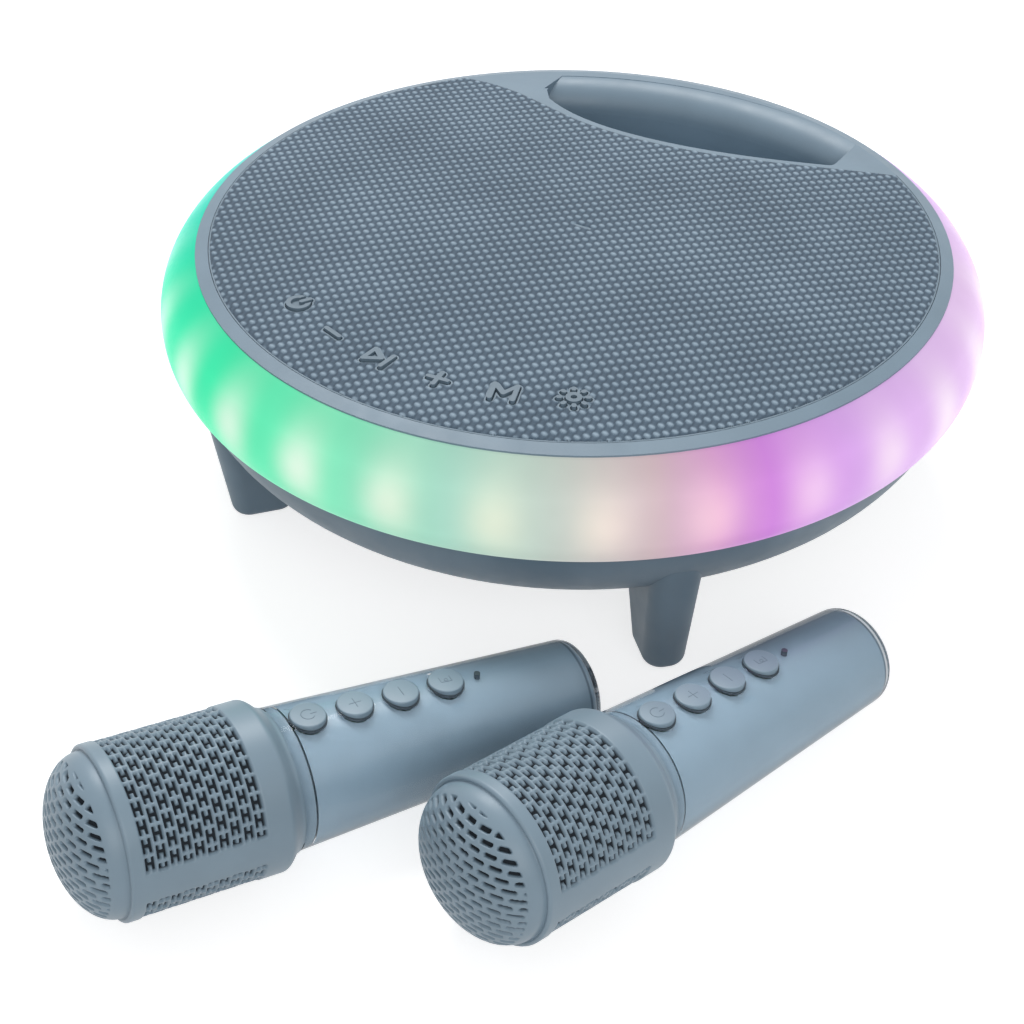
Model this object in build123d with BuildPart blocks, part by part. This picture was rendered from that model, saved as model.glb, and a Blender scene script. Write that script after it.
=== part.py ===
from build123d import *

import os
from math import atan, atan2, cos, degrees, hypot, radians, sin, sqrt

# Disc-shaped karaoke speaker on four fin legs, with two wireless microphones lying in front of it.
# Millimetres, +Z up.  Origin: on the ground, under the centre of the disc.  The control keys face -Y.

# ---------------------------------------------------------------- cabinet
rim_radius = 122.0  # outer edge of the top bezel
rim_height = 86.0  # of that edge above the ground
bevel_width = 4.2
bevel_rise = 1.3
wall = 2.6  # of the lower shell
ring_radius = 132.0  # widest circle of the light ring
ring_seat_drop = 0.6  # drops are measured down from the rim
ring_equator_drop = 20.5
ring_bottom_drop = 31.0
ring_wall = 1.8
ring_overhang = 0.5  # of the light ring past the lower shell
belly_radius = 91.0  # of the flat underside
belly_drop = 62.5
# ---------------------------------------------------------------- top
skin_dome = 2.5
skin_thickness = 1.2
skin_clearance = 0.2
frame_thickness = 2.2
frame_flange_thickness = 0.8
frame_hole_radius = 3.0
frame_hole_pitch = 12.0
frame_hole_rings = 5
skirt_radius = 112.0
skirt_wall = 2.2
skirt_bottom_drop = 30.0
shelf_drop = 4.0  # underside of the skin's ledge
deck_drop = 4.4  # upper side of the inner deck
deck_thickness = 2.4
# ---------------------------------------------------------------- finger recess
lip_points = [  # edge of the skin, from rim to rim behind the disc's centre
    (-92.0, 76.0),
    (-62.0, 74.5),
    (-37.0, 67.0),
    (-10.0, 65.0),
    (22.6, 70.8),
    (49.6, 80.8),
    (80.0, 93.0),
]
recess_front = [(-54.0, 77.0), (-36.0, 69.2), (-10.0, 67.2), (22.6, 73.0), (54.0, 84.8)]
recess_rear_left = -60.0  # x of the rear wall's ends
recess_rear_right = 54.0
recess_rear_centre = (6.2, -14.5)  # of the rear wall's arc
recess_rear_radius = 119.5
recess_depth = 22.0
recess_floor_radius = 4.0
recess_corner_radius = 3.0
bar_radius = 10.0  # rounding of the grip bar towards the recess
bar_margin = 1.2  # of the rounding's cut into the recess
recess_wall = 2.5
# ---------------------------------------------------------------- legs
leg_azimuths = {
    "leg_front_right": -45.0,
    "leg_front_left": -131.0,
    "leg_rear_left": 135.0,
    "leg_rear_right": 45.0,
}
leg_top_inner = 82.0
leg_top_outer = 127.0
leg_top_drop = 32.0
leg_top_width = 17.0
leg_foot_inner = 99.0
leg_foot_outer = 118.5
leg_foot_width = 13.5
leg_corner = 6.0
leg_foot_fillet = 3.5
leg_screw_circle = 104.0
leg_screw_depth = 14.0
# ---------------------------------------------------------------- screws
screw_radius = 1.5
screw_head_radius = 2.9
screw_head_height = 2.0
screw_clearance = 0.2
thread_clearance = 0.05
boss_radius = 4.5
boss_circle = 100.0
boss_count = 5
boss_first_azimuth = 158.0
boss_spacing = 60.0
boss_joint_drop = 34.0
case_screw_seat_drop = 40.0
case_screw_length = 18.0
leg_screw_seat_drop = 54.0
# ---------------------------------------------------------------- lights
led_count = 27
led_size = 5.0
led_height = 1.6
led_drop = 17.5
led_start_azimuth = -97.5
led_board_width = 16.0
led_board_thickness = 0.8
fit_clearance = 0.05
# ---------------------------------------------------------------- driver
driver_offset = -12.0  # along Y
driver_opening = 46.0
basket_flange_radius = 52.0
basket_flange = 2.0
basket_wall = 1.6
basket_base_radius = 32.0
basket_depth = 30.0
basket_windows = 6
magnet_radius = 33.0
magnet_height = 12.0
cone_depth = 14.0
cone_apex_radius = 12.0
cone_thickness = 0.8
surround_radius = 2.8
surround_lip = 2.0
# ---------------------------------------------------------------- electronics
board_thickness = 1.6
main_board_length = 50.0
main_board_width = 36.0
main_board_x = -60.0
main_board_y = -14.0
main_board_lift = 5.0
cell_radius = 9.1
cell_length = 65.0
cell_pitch = 19.0
cell_y = 59.0
cell_lift = 4.2
tray_wall = 1.8
tray_height = 10.0
port_width = 9.0
port_height = 3.3
port_length = 7.5
port_wall = 0.4
port_face_radius = 116.0
port_drop = 41.2
port_notch_width = 15.0
port_notch_top_drop = 36.5
# ---------------------------------------------------------------- control keys
key_circle = 97.5
key_pitch = 11.9  # degrees
key_count = 6
key_plate_radius = 7.4
key_plate_thickness = 1.0
key_plate_clearance = 0.8
key_gap = 0.1
key_travel = 0.8
key_stem_radius = 1.6
key_stem_length = 1.1
glyph_size = 3.1  # half the height of a glyph
glyph_stroke = 1.5
glyph_proud = 0.9
glyph_clearance = 0.3
power_bar_top = 1.25  # shares of the glyph size from here to sun_ray_length
play_tail = 1.3
play_tip = 0.2
play_bar = 0.9
mode_half_width = 1.1
mode_half_height = 1.15
sun_core = 0.55
sun_ray_circle = 1.35
sun_ray_length = 0.15
sun_ray_count = 8
key_board_inner = 88.0
key_board_outer = 107.0
key_board_thickness = 1.2
key_switch_size = 4.5
switch_gap = 0.2
# ---------------------------------------------------------------- microphones
mic_places = {  # centre of the head's front ridge on the ground plan, and heading from head to tail
    "mic_left": (0.35, -245.65, 60.45),
    "mic_right": (90.96, -201.14, 72.53),
}
head_radius = 24.0
head_ridge_radius = 23.0
head_face_radius = 22.0
head_dome = 13.5
head_length = 46.0  # of the cylinder, from the ridge
head_shoulder = 4.0
head_wall = 1.8
neck_radius = 20.6
neck_end = 54.0
window_count = 3
window_rows = 5
window_columns = 6
window_start = 6.0
window_pitch = 5.6
window_row_angle = 15.0
slot_length = 4.4
slot_width = 1.9
foam_thickness = 2.4
foam_gap = 0.1
capsule_radius = 4.9
capsule_length = 7.0
capsule_front = 8.0
nose_radius = 6.5
sleeve_front_radius = 19.9
sleeve_tail_radius = 15.2
tail_length = 145.8  # from the ridge to the end of the sleeve
sleeve_wall = 1.5
tail_rounding = 4.0
tail_fillet = 2.4
barrel_gap = 0.15
barrel_wall = 1.6
bulkhead_thickness = 2.0
mic_key_first = 58.8
mic_key_pitch = 13.95
mic_key_count = 4
mic_key_radius = 4.8
mic_key_clearance = 0.3
mic_key_proud = 1.3
mic_key_flange_radius = 6.0
mic_key_flange = 1.0
mic_key_drop = 1.9  # flange below the barrel's bore
mic_key_edge = 0.5
mic_switch_size = 3.6
indicator_station = 110.6
indicator_radius = 0.9
indicator_proud = 0.4
mic_board_start = 52.6
mic_board_end = 114.0
mic_board_height = 7.5  # underside above the axis
mic_board_width = 19.0
mic_board_thickness = 1.2
rail_thickness = 1.6
rail_width = 3.0
mic_cell_radius = 7.0
mic_cell_length = 50.0
mic_cell_start = 58.0
mic_port_length = 6.5
# ================================================================ shared surfaces
recess_radius = rim_radius - bevel_width
skin_radius = recess_radius - skin_clearance
bevel_top = rim_height + bevel_rise
ledge_top = bevel_top - skin_thickness - frame_flange_thickness
ring_curve = (
    (ring_radius - rim_radius) ** 2 + (ring_equator_drop - ring_seat_drop) ** 2
) / (2 * (ring_radius - rim_radius))
ring_centre = ring_radius - ring_curve


def ring_reach(drop, inset=0.0):
    """Radius of the light ring's section at a drop below the rim."""
    return ring_centre + sqrt((ring_curve - inset) ** 2 - (ring_equator_drop - drop) ** 2)


shell_edge_radius = ring_reach(ring_bottom_drop) - ring_overhang


def dome_height(radius):
    """Height of the skin's upper surface at a distance from the disc's axis."""
    return bevel_top + skin_dome * (1 - (radius / recess_radius) ** 2)


def domed_disc(radius, sink, thickness, inner=0.0):
    """Section of a layer that follows the dome, its top a given distance under the skin's top."""
    middle = (radius + inner) / 2
    with BuildSketch(Plane.XZ) as section:
        with BuildLine():
            upper = ThreePointArc(*[(r, dome_height(r) - sink) for r in (inner, middle, radius)])
            lower = ThreePointArc(
                *[(r, dome_height(r) - sink - thickness) for r in (inner, middle, radius)]
            )
            Line(upper @ 0, lower @ 0)
            Line(upper @ 1, lower @ 1)
        make_face()
    return section.sketch


def bowl_section(inset, top):
    """Section of everything inside the bowl's outer surface, moved inward by inset, up to a height."""
    edge_height = rim_height - ring_bottom_drop
    belly_height = rim_height - belly_drop
    curve = ((shell_edge_radius - belly_radius) ** 2 + (edge_height - belly_height) ** 2) / (
        2 * (edge_height - belly_height)
    )

    def reach(height):
        return belly_radius + sqrt((curve - inset) ** 2 - (curve + belly_height - height) ** 2)

    middle_height = (belly_height + edge_height) / 2
    with BuildSketch(Plane.XZ) as section:
        with BuildLine():
            ThreePointArc(
                (belly_radius, belly_height + inset),
                (reach(middle_height), middle_height),
                (reach(edge_height), edge_height),
            )
            Polyline((belly_radius, belly_height + inset), (0, belly_height + inset), (0, top))
            if top > edge_height:
                Polyline((0, top), (reach(edge_height), top), (reach(edge_height), edge_height))
            else:
                Line((0, top), (reach(edge_height), edge_height))
        make_face()
    return section.sketch


def lip_outline(gap=0.0):
    """Region behind the edge of the skin, out past the rim."""
    edge = [(x, y - gap) for x, y in lip_points]
    beyond = rim_radius + bevel_width
    with BuildSketch() as region:
        with BuildLine():
            Spline(*edge)
            Polyline(
                edge[-1], (beyond, edge[-1][1]), (beyond, beyond),
                (-beyond, beyond), (-beyond, edge[0][1]), edge[0],
            )
        make_face()
    return region.sketch


def rear_wall(x, growth=0.0):
    """Point of the recess's rear wall."""
    centre_x, centre_y = recess_rear_centre
    return x, centre_y + sqrt((recess_rear_radius + growth) ** 2 - (x - centre_x) ** 2)


def recess_outline(growth=0.0):
    """Plan of the finger recess, grown all round."""
    front = [(x + growth * x / recess_rear_right, y - growth) for x, y in recess_front]
    left, right = rear_wall(recess_rear_left - growth, growth), rear_wall(recess_rear_right + growth, growth)
    with BuildSketch() as plan:
        with BuildLine():
            Spline(*front)
            Line(front[-1], right)
            ThreePointArc(right, rear_wall(0, growth), left)
            Line(left, front[0])
        make_face()
        fillet(plan.vertices(), recess_corner_radius + growth)
    return plan.sketch


# ================================================================ lower shell
floor_top = rim_height - belly_drop + wall
shell_top = rim_height - ring_bottom_drop
joint_height = rim_height - boss_joint_drop
case_screw_seat = rim_height - case_screw_seat_drop
leg_screw_seat = rim_height - leg_screw_seat_drop
boss_places = PolarLocations(
    boss_circle,
    boss_count,
    start_angle=boss_first_azimuth,
    angular_range=boss_count * boss_spacing,
)
leg_screw_places = Locations(
    *[(leg_screw_circle * cos(radians(a)), leg_screw_circle * sin(radians(a))) for a in leg_azimuths.values()]
)
port_height_centre = rim_height - port_drop
port_notch_top = rim_height - port_notch_top_drop

with BuildPart() as bowl_solid:
    revolve(bowl_section(0, shell_top), axis=Axis.Z)

with BuildPart() as bowl_cavity:
    revolve(bowl_section(wall, shell_top + wall), axis=Axis.Z)
    with BuildSketch():
        with boss_places:
            Circle(boss_radius)
    extrude(amount=joint_height, mode=Mode.SUBTRACT)
    with BuildSketch():
        with leg_screw_places:
            Circle(boss_radius)
    extrude(amount=leg_screw_seat, mode=Mode.SUBTRACT)
    with BuildSketch(Plane.XY.offset(port_notch_top + wall)):
        with Locations((port_length + wall - port_face_radius, 0)):
            Rectangle(rim_radius, port_notch_width + 2 * wall, align=(Align.MAX, Align.CENTER))
    extrude(amount=-rim_height, mode=Mode.SUBTRACT)
    with BuildSketch(Plane.XY.offset(floor_top + main_board_lift)):
        with Locations((main_board_x, main_board_y)):
            with GridLocations(main_board_length - 2 * boss_radius, main_board_width - 2 * boss_radius, 2, 2):
                Circle(boss_radius - screw_radius)
    extrude(amount=-rim_height, mode=Mode.SUBTRACT)

with BuildPart() as lower_shell:
    add(bowl_solid.part)
    add(bowl_cavity.part, mode=Mode.SUBTRACT)
    with BuildSketch():
        with boss_places:
            Circle(screw_radius + screw_clearance)
    extrude(amount=rim_height, mode=Mode.SUBTRACT)
    with BuildSketch():
        with boss_places:
            Circle(screw_head_radius + screw_clearance)
    extrude(amount=case_screw_seat, mode=Mode.SUBTRACT)
    with BuildSketch():
        with leg_screw_places:
            Circle(screw_radius + screw_clearance)
    extrude(amount=rim_height, mode=Mode.SUBTRACT)
    with BuildSketch(Plane.XY.offset(port_notch_top)):
        with Locations((-port_face_radius, 0)):
            Rectangle(rim_radius, port_notch_width, align=(Align.MAX, Align.CENTER))
    extrude(amount=-port_notch_top, mode=Mode.SUBTRACT)
    with BuildSketch(Plane.YZ.offset(-port_face_radius)):
        with Locations((0, port_height_centre)):
            SlotOverall(port_width + 2 * fit_clearance, port_height + 2 * fit_clearance)
    extrude(amount=port_length, mode=Mode.SUBTRACT)
lower_shell.part.label = "lower_shell"
export_step(lower_shell.part, "parts/lower_shell.step")

# ================================================================ legs
leg_length_top = leg_top_outer - leg_top_inner
leg_length_foot = leg_foot_outer - leg_foot_inner
for leg_name, leg_azimuth in leg_azimuths.items():
    outward = Vector(cos(radians(leg_azimuth)), sin(radians(leg_azimuth)), 0)
    top_centre = outward * ((leg_top_outer + leg_top_inner) / 2) + Vector(0, 0, rim_height - leg_top_drop)
    foot_centre = outward * ((leg_foot_outer + leg_foot_inner) / 2)
    screw_centre = outward * leg_screw_circle + Vector(0, 0, leg_screw_seat)
    with BuildPart() as leg:
        with BuildSketch(Plane(top_centre, x_dir=outward, z_dir=(0, 0, 1))):
            RectangleRounded(leg_length_top, leg_top_width, leg_corner)
        with BuildSketch(Plane(foot_centre, x_dir=outward, z_dir=(0, 0, 1))):
            RectangleRounded(leg_length_foot, leg_foot_width, leg_corner)
        loft()
        fillet(leg.faces().sort_by(Axis.Z)[0].edges(), leg_foot_fillet)
        add(bowl_solid.part, mode=Mode.SUBTRACT)
        with BuildSketch(Plane(screw_centre, x_dir=outward, z_dir=(0, 0, -1))):
            Circle(screw_radius + thread_clearance)
        extrude(amount=leg_screw_depth + wall + screw_head_height, mode=Mode.SUBTRACT)
    leg.part.label = leg_name
    export_step(leg.part, f"parts/{leg_name}.step")

with BuildPart() as leg_screws:
    with BuildSketch(Plane.XY.offset(leg_screw_seat)):
        with leg_screw_places:
            Circle(screw_radius)
    extrude(amount=-leg_screw_depth - wall)
    with BuildSketch(Plane.XY.offset(leg_screw_seat)):
        with leg_screw_places:
            Circle(screw_head_radius)
    extrude(amount=screw_head_height)
leg_screws.part.label = "leg_screws"
export_step(leg_screws.part, "parts/leg_screws.step")

with BuildPart() as case_screws:
    with BuildSketch(Plane.XY.offset(case_screw_seat)):
        with boss_places:
            Circle(screw_radius)
    extrude(amount=case_screw_length)
    with BuildSketch(Plane.XY.offset(case_screw_seat)):
        with boss_places:
            Circle(screw_head_radius)
    extrude(amount=-screw_head_height)
case_screws.part.label = "case_screws"
export_step(case_screws.part, "parts/case_screws.step")

# ================================================================ light ring and its lamps
with BuildPart() as light_ring:
    with BuildSketch(Plane.XZ):
        with BuildLine():
            middle_drop = (ring_seat_drop + ring_bottom_drop) / 2
            outer_arc = ThreePointArc(
                *[(ring_reach(d), rim_height - d) for d in (ring_seat_drop, middle_drop, ring_bottom_drop)]
            )
            inner_arc = ThreePointArc(
                *[
                    (ring_reach(d, ring_wall), rim_height - d)
                    for d in (ring_seat_drop, middle_drop, ring_bottom_drop)
                ]
            )
            Line(outer_arc @ 0, inner_arc @ 0)
            Line(outer_arc @ 1, inner_arc @ 1)
        make_face()
    revolve(axis=Axis.Z)
light_ring.part.label = "light_ring"
export_step(light_ring.part, "parts/light_ring.step")

led_plane_height = rim_height - led_drop
led_board_radius = skirt_radius + fit_clearance + led_board_thickness
with BuildPart() as led_board:
    with BuildSketch(Plane.XY.offset(led_plane_height - led_board_width / 2)):
        Circle(led_board_radius)
        Circle(led_board_radius - led_board_thickness, mode=Mode.SUBTRACT)
    extrude(amount=led_board_width)
led_board.part.label = "led_board"
export_step(led_board.part, "parts/led_board.step")

with BuildPart() as leds:
    with BuildSketch(Plane.XY.offset(led_plane_height - led_size / 2)):
        with PolarLocations(led_board_radius, led_count, start_angle=led_start_azimuth):
            Rectangle(2 * led_height, led_size)
        Circle(led_board_radius + fit_clearance, mode=Mode.SUBTRACT)
    extrude(amount=led_size)
leds.part.label = "leds"
export_step(leds.part, "parts/leds.step")

# ================================================================ top shell with the finger recess
shelf_height = rim_height - shelf_drop
deck_top = rim_height - deck_drop
deck_bottom = deck_top - deck_thickness
seat_radius = ring_reach(ring_seat_drop, ring_wall) - skin_clearance
skirt_inner = skirt_radius - skirt_wall
dome_top = dome_height(0)

with BuildPart() as recess_cavity:
    add(recess_outline())
    extrude(amount=dome_top)
    with BuildSketch():
        Circle(rim_radius)
    extrude(amount=rim_height - recess_depth, mode=Mode.SUBTRACT)
    fillet(recess_cavity.faces().sort_by(Axis.Z)[0].edges(), recess_floor_radius)

with BuildPart() as under_dome:
    revolve(domed_disc(recess_radius, 0, dome_top - deck_bottom), axis=Axis.Z)

with BuildPart() as recess_deck:
    with BuildSketch(Plane.XY.offset(deck_bottom)):
        add(lip_outline())
    extrude(amount=dome_top)
    add(under_dome.part, mode=Mode.INTERSECT)

with BuildPart() as bar_relief:
    bar_plane = Plane((*recess_rear_centre, 0), x_dir=(1, 0, 0), z_dir=(0, -1, 0))
    with BuildSketch(bar_plane):
        with BuildLine():
            round_start = (recess_rear_radius, bevel_top - bar_radius)
            round_end = (recess_rear_radius + bar_radius, bevel_top)
            RadiusArc(round_start, round_end, bar_radius)
            Polyline(
                round_end,
                (recess_rear_radius + bar_radius, dome_top),
                (recess_rear_radius - bar_margin, dome_top),
                (recess_rear_radius - bar_margin, bevel_top - bar_radius),
                round_start,
            )
        make_face()
    revolve(axis=Axis((*recess_rear_centre, 0), (0, 0, 1)))
    with BuildSketch():
        with Locations((recess_rear_left, 0)):
            Rectangle(recess_rear_right - recess_rear_left, 2 * rim_radius, align=(Align.MIN, Align.MIN))
    extrude(amount=dome_top, mode=Mode.INTERSECT)

with BuildPart() as top_shell:
    with BuildSketch(Plane.XZ):
        with BuildLine():
            Polyline(
                (rim_radius, rim_height - ring_seat_drop),
                (rim_radius, rim_height),
                (recess_radius, bevel_top),
                (recess_radius, ledge_top),
                (skirt_inner, ledge_top),
                (skirt_inner, deck_top),
                (0, deck_top),
                (0, deck_bottom),
                (skirt_inner, deck_bottom),
                (skirt_inner, rim_height - skirt_bottom_drop),
                (skirt_radius, rim_height - skirt_bottom_drop),
                (skirt_radius, shelf_height),
                (seat_radius, shelf_height),
                (seat_radius, rim_height - ring_seat_drop),
                close=True,
            )
        make_face()
    revolve(axis=Axis.Z)
    with BuildSketch(Plane.XY.offset(deck_bottom)):
        with Locations((0, driver_offset)):
            Circle(driver_opening)
    extrude(amount=deck_thickness, mode=Mode.SUBTRACT)
    add(recess_deck.part)
    with BuildSketch(Plane.XY.offset(rim_height - recess_depth - recess_wall)):
        add(recess_outline(recess_wall))
    extrude(amount=recess_depth + recess_wall - deck_drop)
    with BuildSketch(Plane.XY.offset(joint_height)):
        with boss_places:
            Circle(boss_radius)
    extrude(amount=deck_bottom - joint_height)
    with BuildSketch(Plane.XY.offset(joint_height)):
        with boss_places:
            Circle(screw_radius + thread_clearance)
    extrude(amount=case_screw_length, mode=Mode.SUBTRACT)
    add(recess_cavity.part, mode=Mode.SUBTRACT)
    add(bar_relief.part, mode=Mode.SUBTRACT)
top_shell.part.label = "top_shell"
export_step(top_shell.part, "parts/top_shell.step")

# ================================================================ grille frame and skin
key_azimuths = [-90 + (i - (key_count - 1) / 2) * key_pitch for i in range(key_count)]
frame_inner_radius = skirt_inner - skin_clearance


def key_plane(azimuth, height):
    """Level plane over a control key, its Y axis towards the disc's axis."""
    angle = radians(azimuth)
    centre = (key_circle * cos(angle), key_circle * sin(angle), height)
    return Plane(centre, x_dir=(-sin(angle), cos(angle), 0), z_dir=(0, 0, 1))


with BuildPart() as grille_frame:
    revolve(domed_disc(frame_inner_radius, skin_thickness, frame_thickness), axis=Axis.Z)
    revolve(
        domed_disc(skin_radius, skin_thickness, frame_flange_thickness, frame_inner_radius - wall),
        axis=Axis.Z,
    )
    with BuildSketch():
        for ring in range(1, frame_hole_rings + 1):
            with PolarLocations(ring * frame_hole_pitch, 6 * ring):
                Circle(frame_hole_radius)
        with PolarLocations(key_circle, key_count, key_azimuths[0], key_pitch * key_count):
            Circle(key_plate_radius + key_plate_clearance)
        add(lip_outline(skin_clearance))
    extrude(amount=dome_top, mode=Mode.SUBTRACT)
grille_frame.part.label = "grille_frame"
export_step(grille_frame.part, "parts/grille_frame.step")


def stroke(start, end, width):
    """Round-ended bar of the current sketch."""
    run_x, run_y = end[0] - start[0], end[1] - start[1]
    with Locations(((start[0] + end[0]) / 2, (start[1] + end[1]) / 2)):
        SlotCenterToCenter(hypot(run_x, run_y), width, rotation=degrees(atan2(run_y, run_x)))


def draw_power(width, filled=False):
    Circle(glyph_size + width / 2)
    if not filled:
        Circle(glyph_size - width / 2, mode=Mode.SUBTRACT)
        with Locations((0, glyph_size)):
            Rectangle(glyph_size + width / 2, 2 * width, mode=Mode.SUBTRACT)
    stroke((0, glyph_size / 3), (0, glyph_size * power_bar_top), width)


def draw_minus(width, filled=False):
    stroke((-glyph_size, 0), (glyph_size, 0), width)


def draw_play(width, filled=False):
    tail, tip, bar = -play_tail * glyph_size, play_tip * glyph_size, play_bar * glyph_size
    stroke((tail, -glyph_size), (tail, glyph_size), width)
    stroke((tail, glyph_size), (tip, 0), width)
    stroke((tip, 0), (tail, -glyph_size), width)
    stroke((bar, -glyph_size), (bar, glyph_size), width)
    if filled:
        Polygon((tail, -glyph_size), (tip, 0), (tail, glyph_size), align=None)


def draw_plus(width, filled=False):
    stroke((-glyph_size, 0), (glyph_size, 0), width)
    stroke((0, -glyph_size), (0, glyph_size), width)


def draw_mode(width, filled=False):
    side, foot = mode_half_width * glyph_size, mode_half_height * glyph_size
    stroke((-side, -foot), (-side, foot), width)
    stroke((-side, foot), (0, -foot / 4), width)
    stroke((0, -foot / 4), (side, foot), width)
    stroke((side, foot), (side, -foot), width)


def draw_light(width, filled=False):
    Circle(glyph_size * sun_core + width / 2)
    if not filled:
        Circle(glyph_size * sun_core - width / 2, mode=Mode.SUBTRACT)
    with PolarLocations(glyph_size * sun_ray_circle, sun_ray_count):
        SlotCenterToCenter(glyph_size * sun_ray_length, width)


speaker_keys = {
    "power_key": draw_power,
    "volume_down_key": draw_minus,
    "play_pause_key": draw_play,
    "volume_up_key": draw_plus,
    "mode_key": draw_mode,
    "light_key": draw_light,
}

with BuildPart() as grille_skin:
    revolve(domed_disc(skin_radius, 0, skin_thickness), axis=Axis.Z)
    with BuildSketch():
        add(lip_outline())
    extrude(amount=dome_top, mode=Mode.SUBTRACT)
    for azimuth, draw in zip(key_azimuths, speaker_keys.values()):
        with BuildSketch(key_plane(azimuth, dome_top)):
            draw(glyph_stroke + 2 * glyph_clearance, filled=True)
        extrude(amount=-dome_top, mode=Mode.SUBTRACT)
grille_skin.part.label = "grille_skin"
export_step(grille_skin.part, "parts/grille_skin.step")

# ================================================================ control keys, their board and switches
key_plate_top = dome_height(key_circle + key_plate_radius) - skin_thickness - key_gap
key_plate_bottom = key_plate_top - key_plate_thickness
key_stem_bottom = key_plate_bottom - key_stem_length
glyph_top = dome_height(key_circle) + glyph_proud
for (key_name, draw), azimuth in zip(speaker_keys.items(), key_azimuths):
    with BuildPart() as key:
        with BuildSketch(key_plane(azimuth, key_plate_top)):
            Circle(key_plate_radius)
        extrude(amount=-key_plate_thickness)
        with BuildSketch(key_plane(azimuth, key_plate_bottom)):
            Circle(key_stem_radius)
        extrude(amount=-key_stem_length)
        with BuildSketch(key_plane(azimuth, key_plate_top)):
            draw(glyph_stroke, filled=True)
        extrude(amount=dome_height(key_circle) - key_plate_top)
        with BuildSketch(key_plane(azimuth, key_plate_top)):
            draw(glyph_stroke)
        extrude(amount=glyph_top - key_plate_top)
    key.part.label = key_name
    export_step(key.part, f"parts/{key_name}.step")

key_board_top = deck_top + key_board_thickness
key_board_span = key_pitch * key_count
with BuildPart() as key_board:
    with BuildSketch(Plane.XY.offset(deck_top)):
        with BuildLine():
            start_angle = -90 - key_board_span / 2
            outer_arc = CenterArc((0, 0), key_board_outer, start_angle, key_board_span)
            inner_arc = CenterArc((0, 0), key_board_inner, start_angle, key_board_span)
            Line(outer_arc @ 0, inner_arc @ 0)
            Line(outer_arc @ 1, inner_arc @ 1)
        make_face()
    extrude(amount=key_board_thickness)
key_board.part.label = "key_board"
export_step(key_board.part, "parts/key_board.step")

with BuildPart() as key_switches:
    for azimuth in key_azimuths:
        with BuildSketch(key_plane(azimuth, key_board_top)):
            Rectangle(key_switch_size, key_switch_size)
        extrude(amount=key_stem_bottom - key_travel - switch_gap - key_board_top)
key_switches.part.label = "key_switches"
export_step(key_switches.part, "parts/key_switches.step")

# ================================================================ driver
basket_top = deck_bottom
basket_bottom = basket_top - basket_flange - basket_depth
surround_height = basket_top - basket_flange
driver_axis = Axis((0, driver_offset, 0), (0, 0, 1))
driver_plane = Plane((0, driver_offset, 0), x_dir=(1, 0, 0), z_dir=(0, -1, 0))
with BuildPart() as driver_basket:
    with BuildSketch(driver_plane):
        with BuildLine():
            Polyline(
                (driver_opening, basket_top),
                (basket_flange_radius, basket_top),
                (basket_flange_radius, basket_top - basket_flange),
                (driver_opening + basket_wall, basket_top - basket_flange),
                (basket_base_radius, basket_bottom),
                (cone_apex_radius, basket_bottom),
                (cone_apex_radius, basket_bottom + basket_wall),
                (basket_base_radius - basket_wall, basket_bottom + basket_wall),
                (driver_opening - surround_lip, surround_height),
                (driver_opening, surround_height),
                close=True,
            )
        make_face()
    revolve(axis=driver_axis)
    with BuildSketch(Plane((0, driver_offset, basket_bottom + 2 * basket_wall))):
        with PolarLocations(driver_opening, basket_windows):
            Rectangle(driver_opening, basket_base_radius / 2)
        Circle(basket_base_radius - basket_wall, mode=Mode.SUBTRACT)
    extrude(amount=basket_depth - 3 * basket_wall, mode=Mode.SUBTRACT)
driver_basket.part.label = "driver_basket"
export_step(driver_basket.part, "parts/driver_basket.step")

with BuildPart() as driver_magnet:
    with BuildSketch(Plane((0, driver_offset, basket_bottom))):
        Circle(magnet_radius)
    extrude(amount=-magnet_height)
    chamfer(driver_magnet.faces().sort_by(Axis.Z)[0].edges(), basket_wall)
driver_magnet.part.label = "driver_magnet"
export_step(driver_magnet.part, "parts/driver_magnet.step")

surround_inner = driver_opening - surround_lip - 2 * surround_radius
with BuildPart() as driver_surround:
    with BuildSketch(driver_plane):
        with BuildLine():
            roll_outer = CenterArc(
                (surround_inner + surround_radius, surround_height), surround_radius, 0, 180
            )
            roll_inner = CenterArc(
                (surround_inner + surround_radius, surround_height), surround_radius - cone_thickness, 0, 180
            )
            Line(roll_outer @ 0, roll_inner @ 0)
            Line(roll_outer @ 1, roll_inner @ 1)
        make_face()
        with Locations((driver_opening - fit_clearance, surround_height)):
            Rectangle(surround_lip + cone_thickness / 2, cone_thickness, align=(Align.MAX, Align.MIN))
    revolve(axis=driver_axis)
driver_surround.part.label = "driver_surround"
export_step(driver_surround.part, "parts/driver_surround.step")

with BuildPart() as driver_cone:
    with BuildSketch(driver_plane):
        with BuildLine():
            cone_top = surround_height
            cone_low = surround_height - cone_depth
            Polyline(
                (surround_inner, cone_top),
                (cone_apex_radius, cone_low),
                (0, cone_low + cone_depth / 3),
                (0, cone_low + cone_depth / 3 - cone_thickness),
                (cone_apex_radius - cone_thickness, cone_low - cone_thickness),
                (cone_apex_radius - cone_thickness, basket_bottom),
                (cone_apex_radius - fit_clearance, basket_bottom),
                (cone_apex_radius - fit_clearance, cone_low - cone_thickness),
                (surround_inner, cone_top - cone_thickness),
                close=True,
            )
        make_face()
    revolve(axis=driver_axis)
driver_cone.part.label = "driver_cone"
export_step(driver_cone.part, "parts/driver_cone.step")

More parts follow.
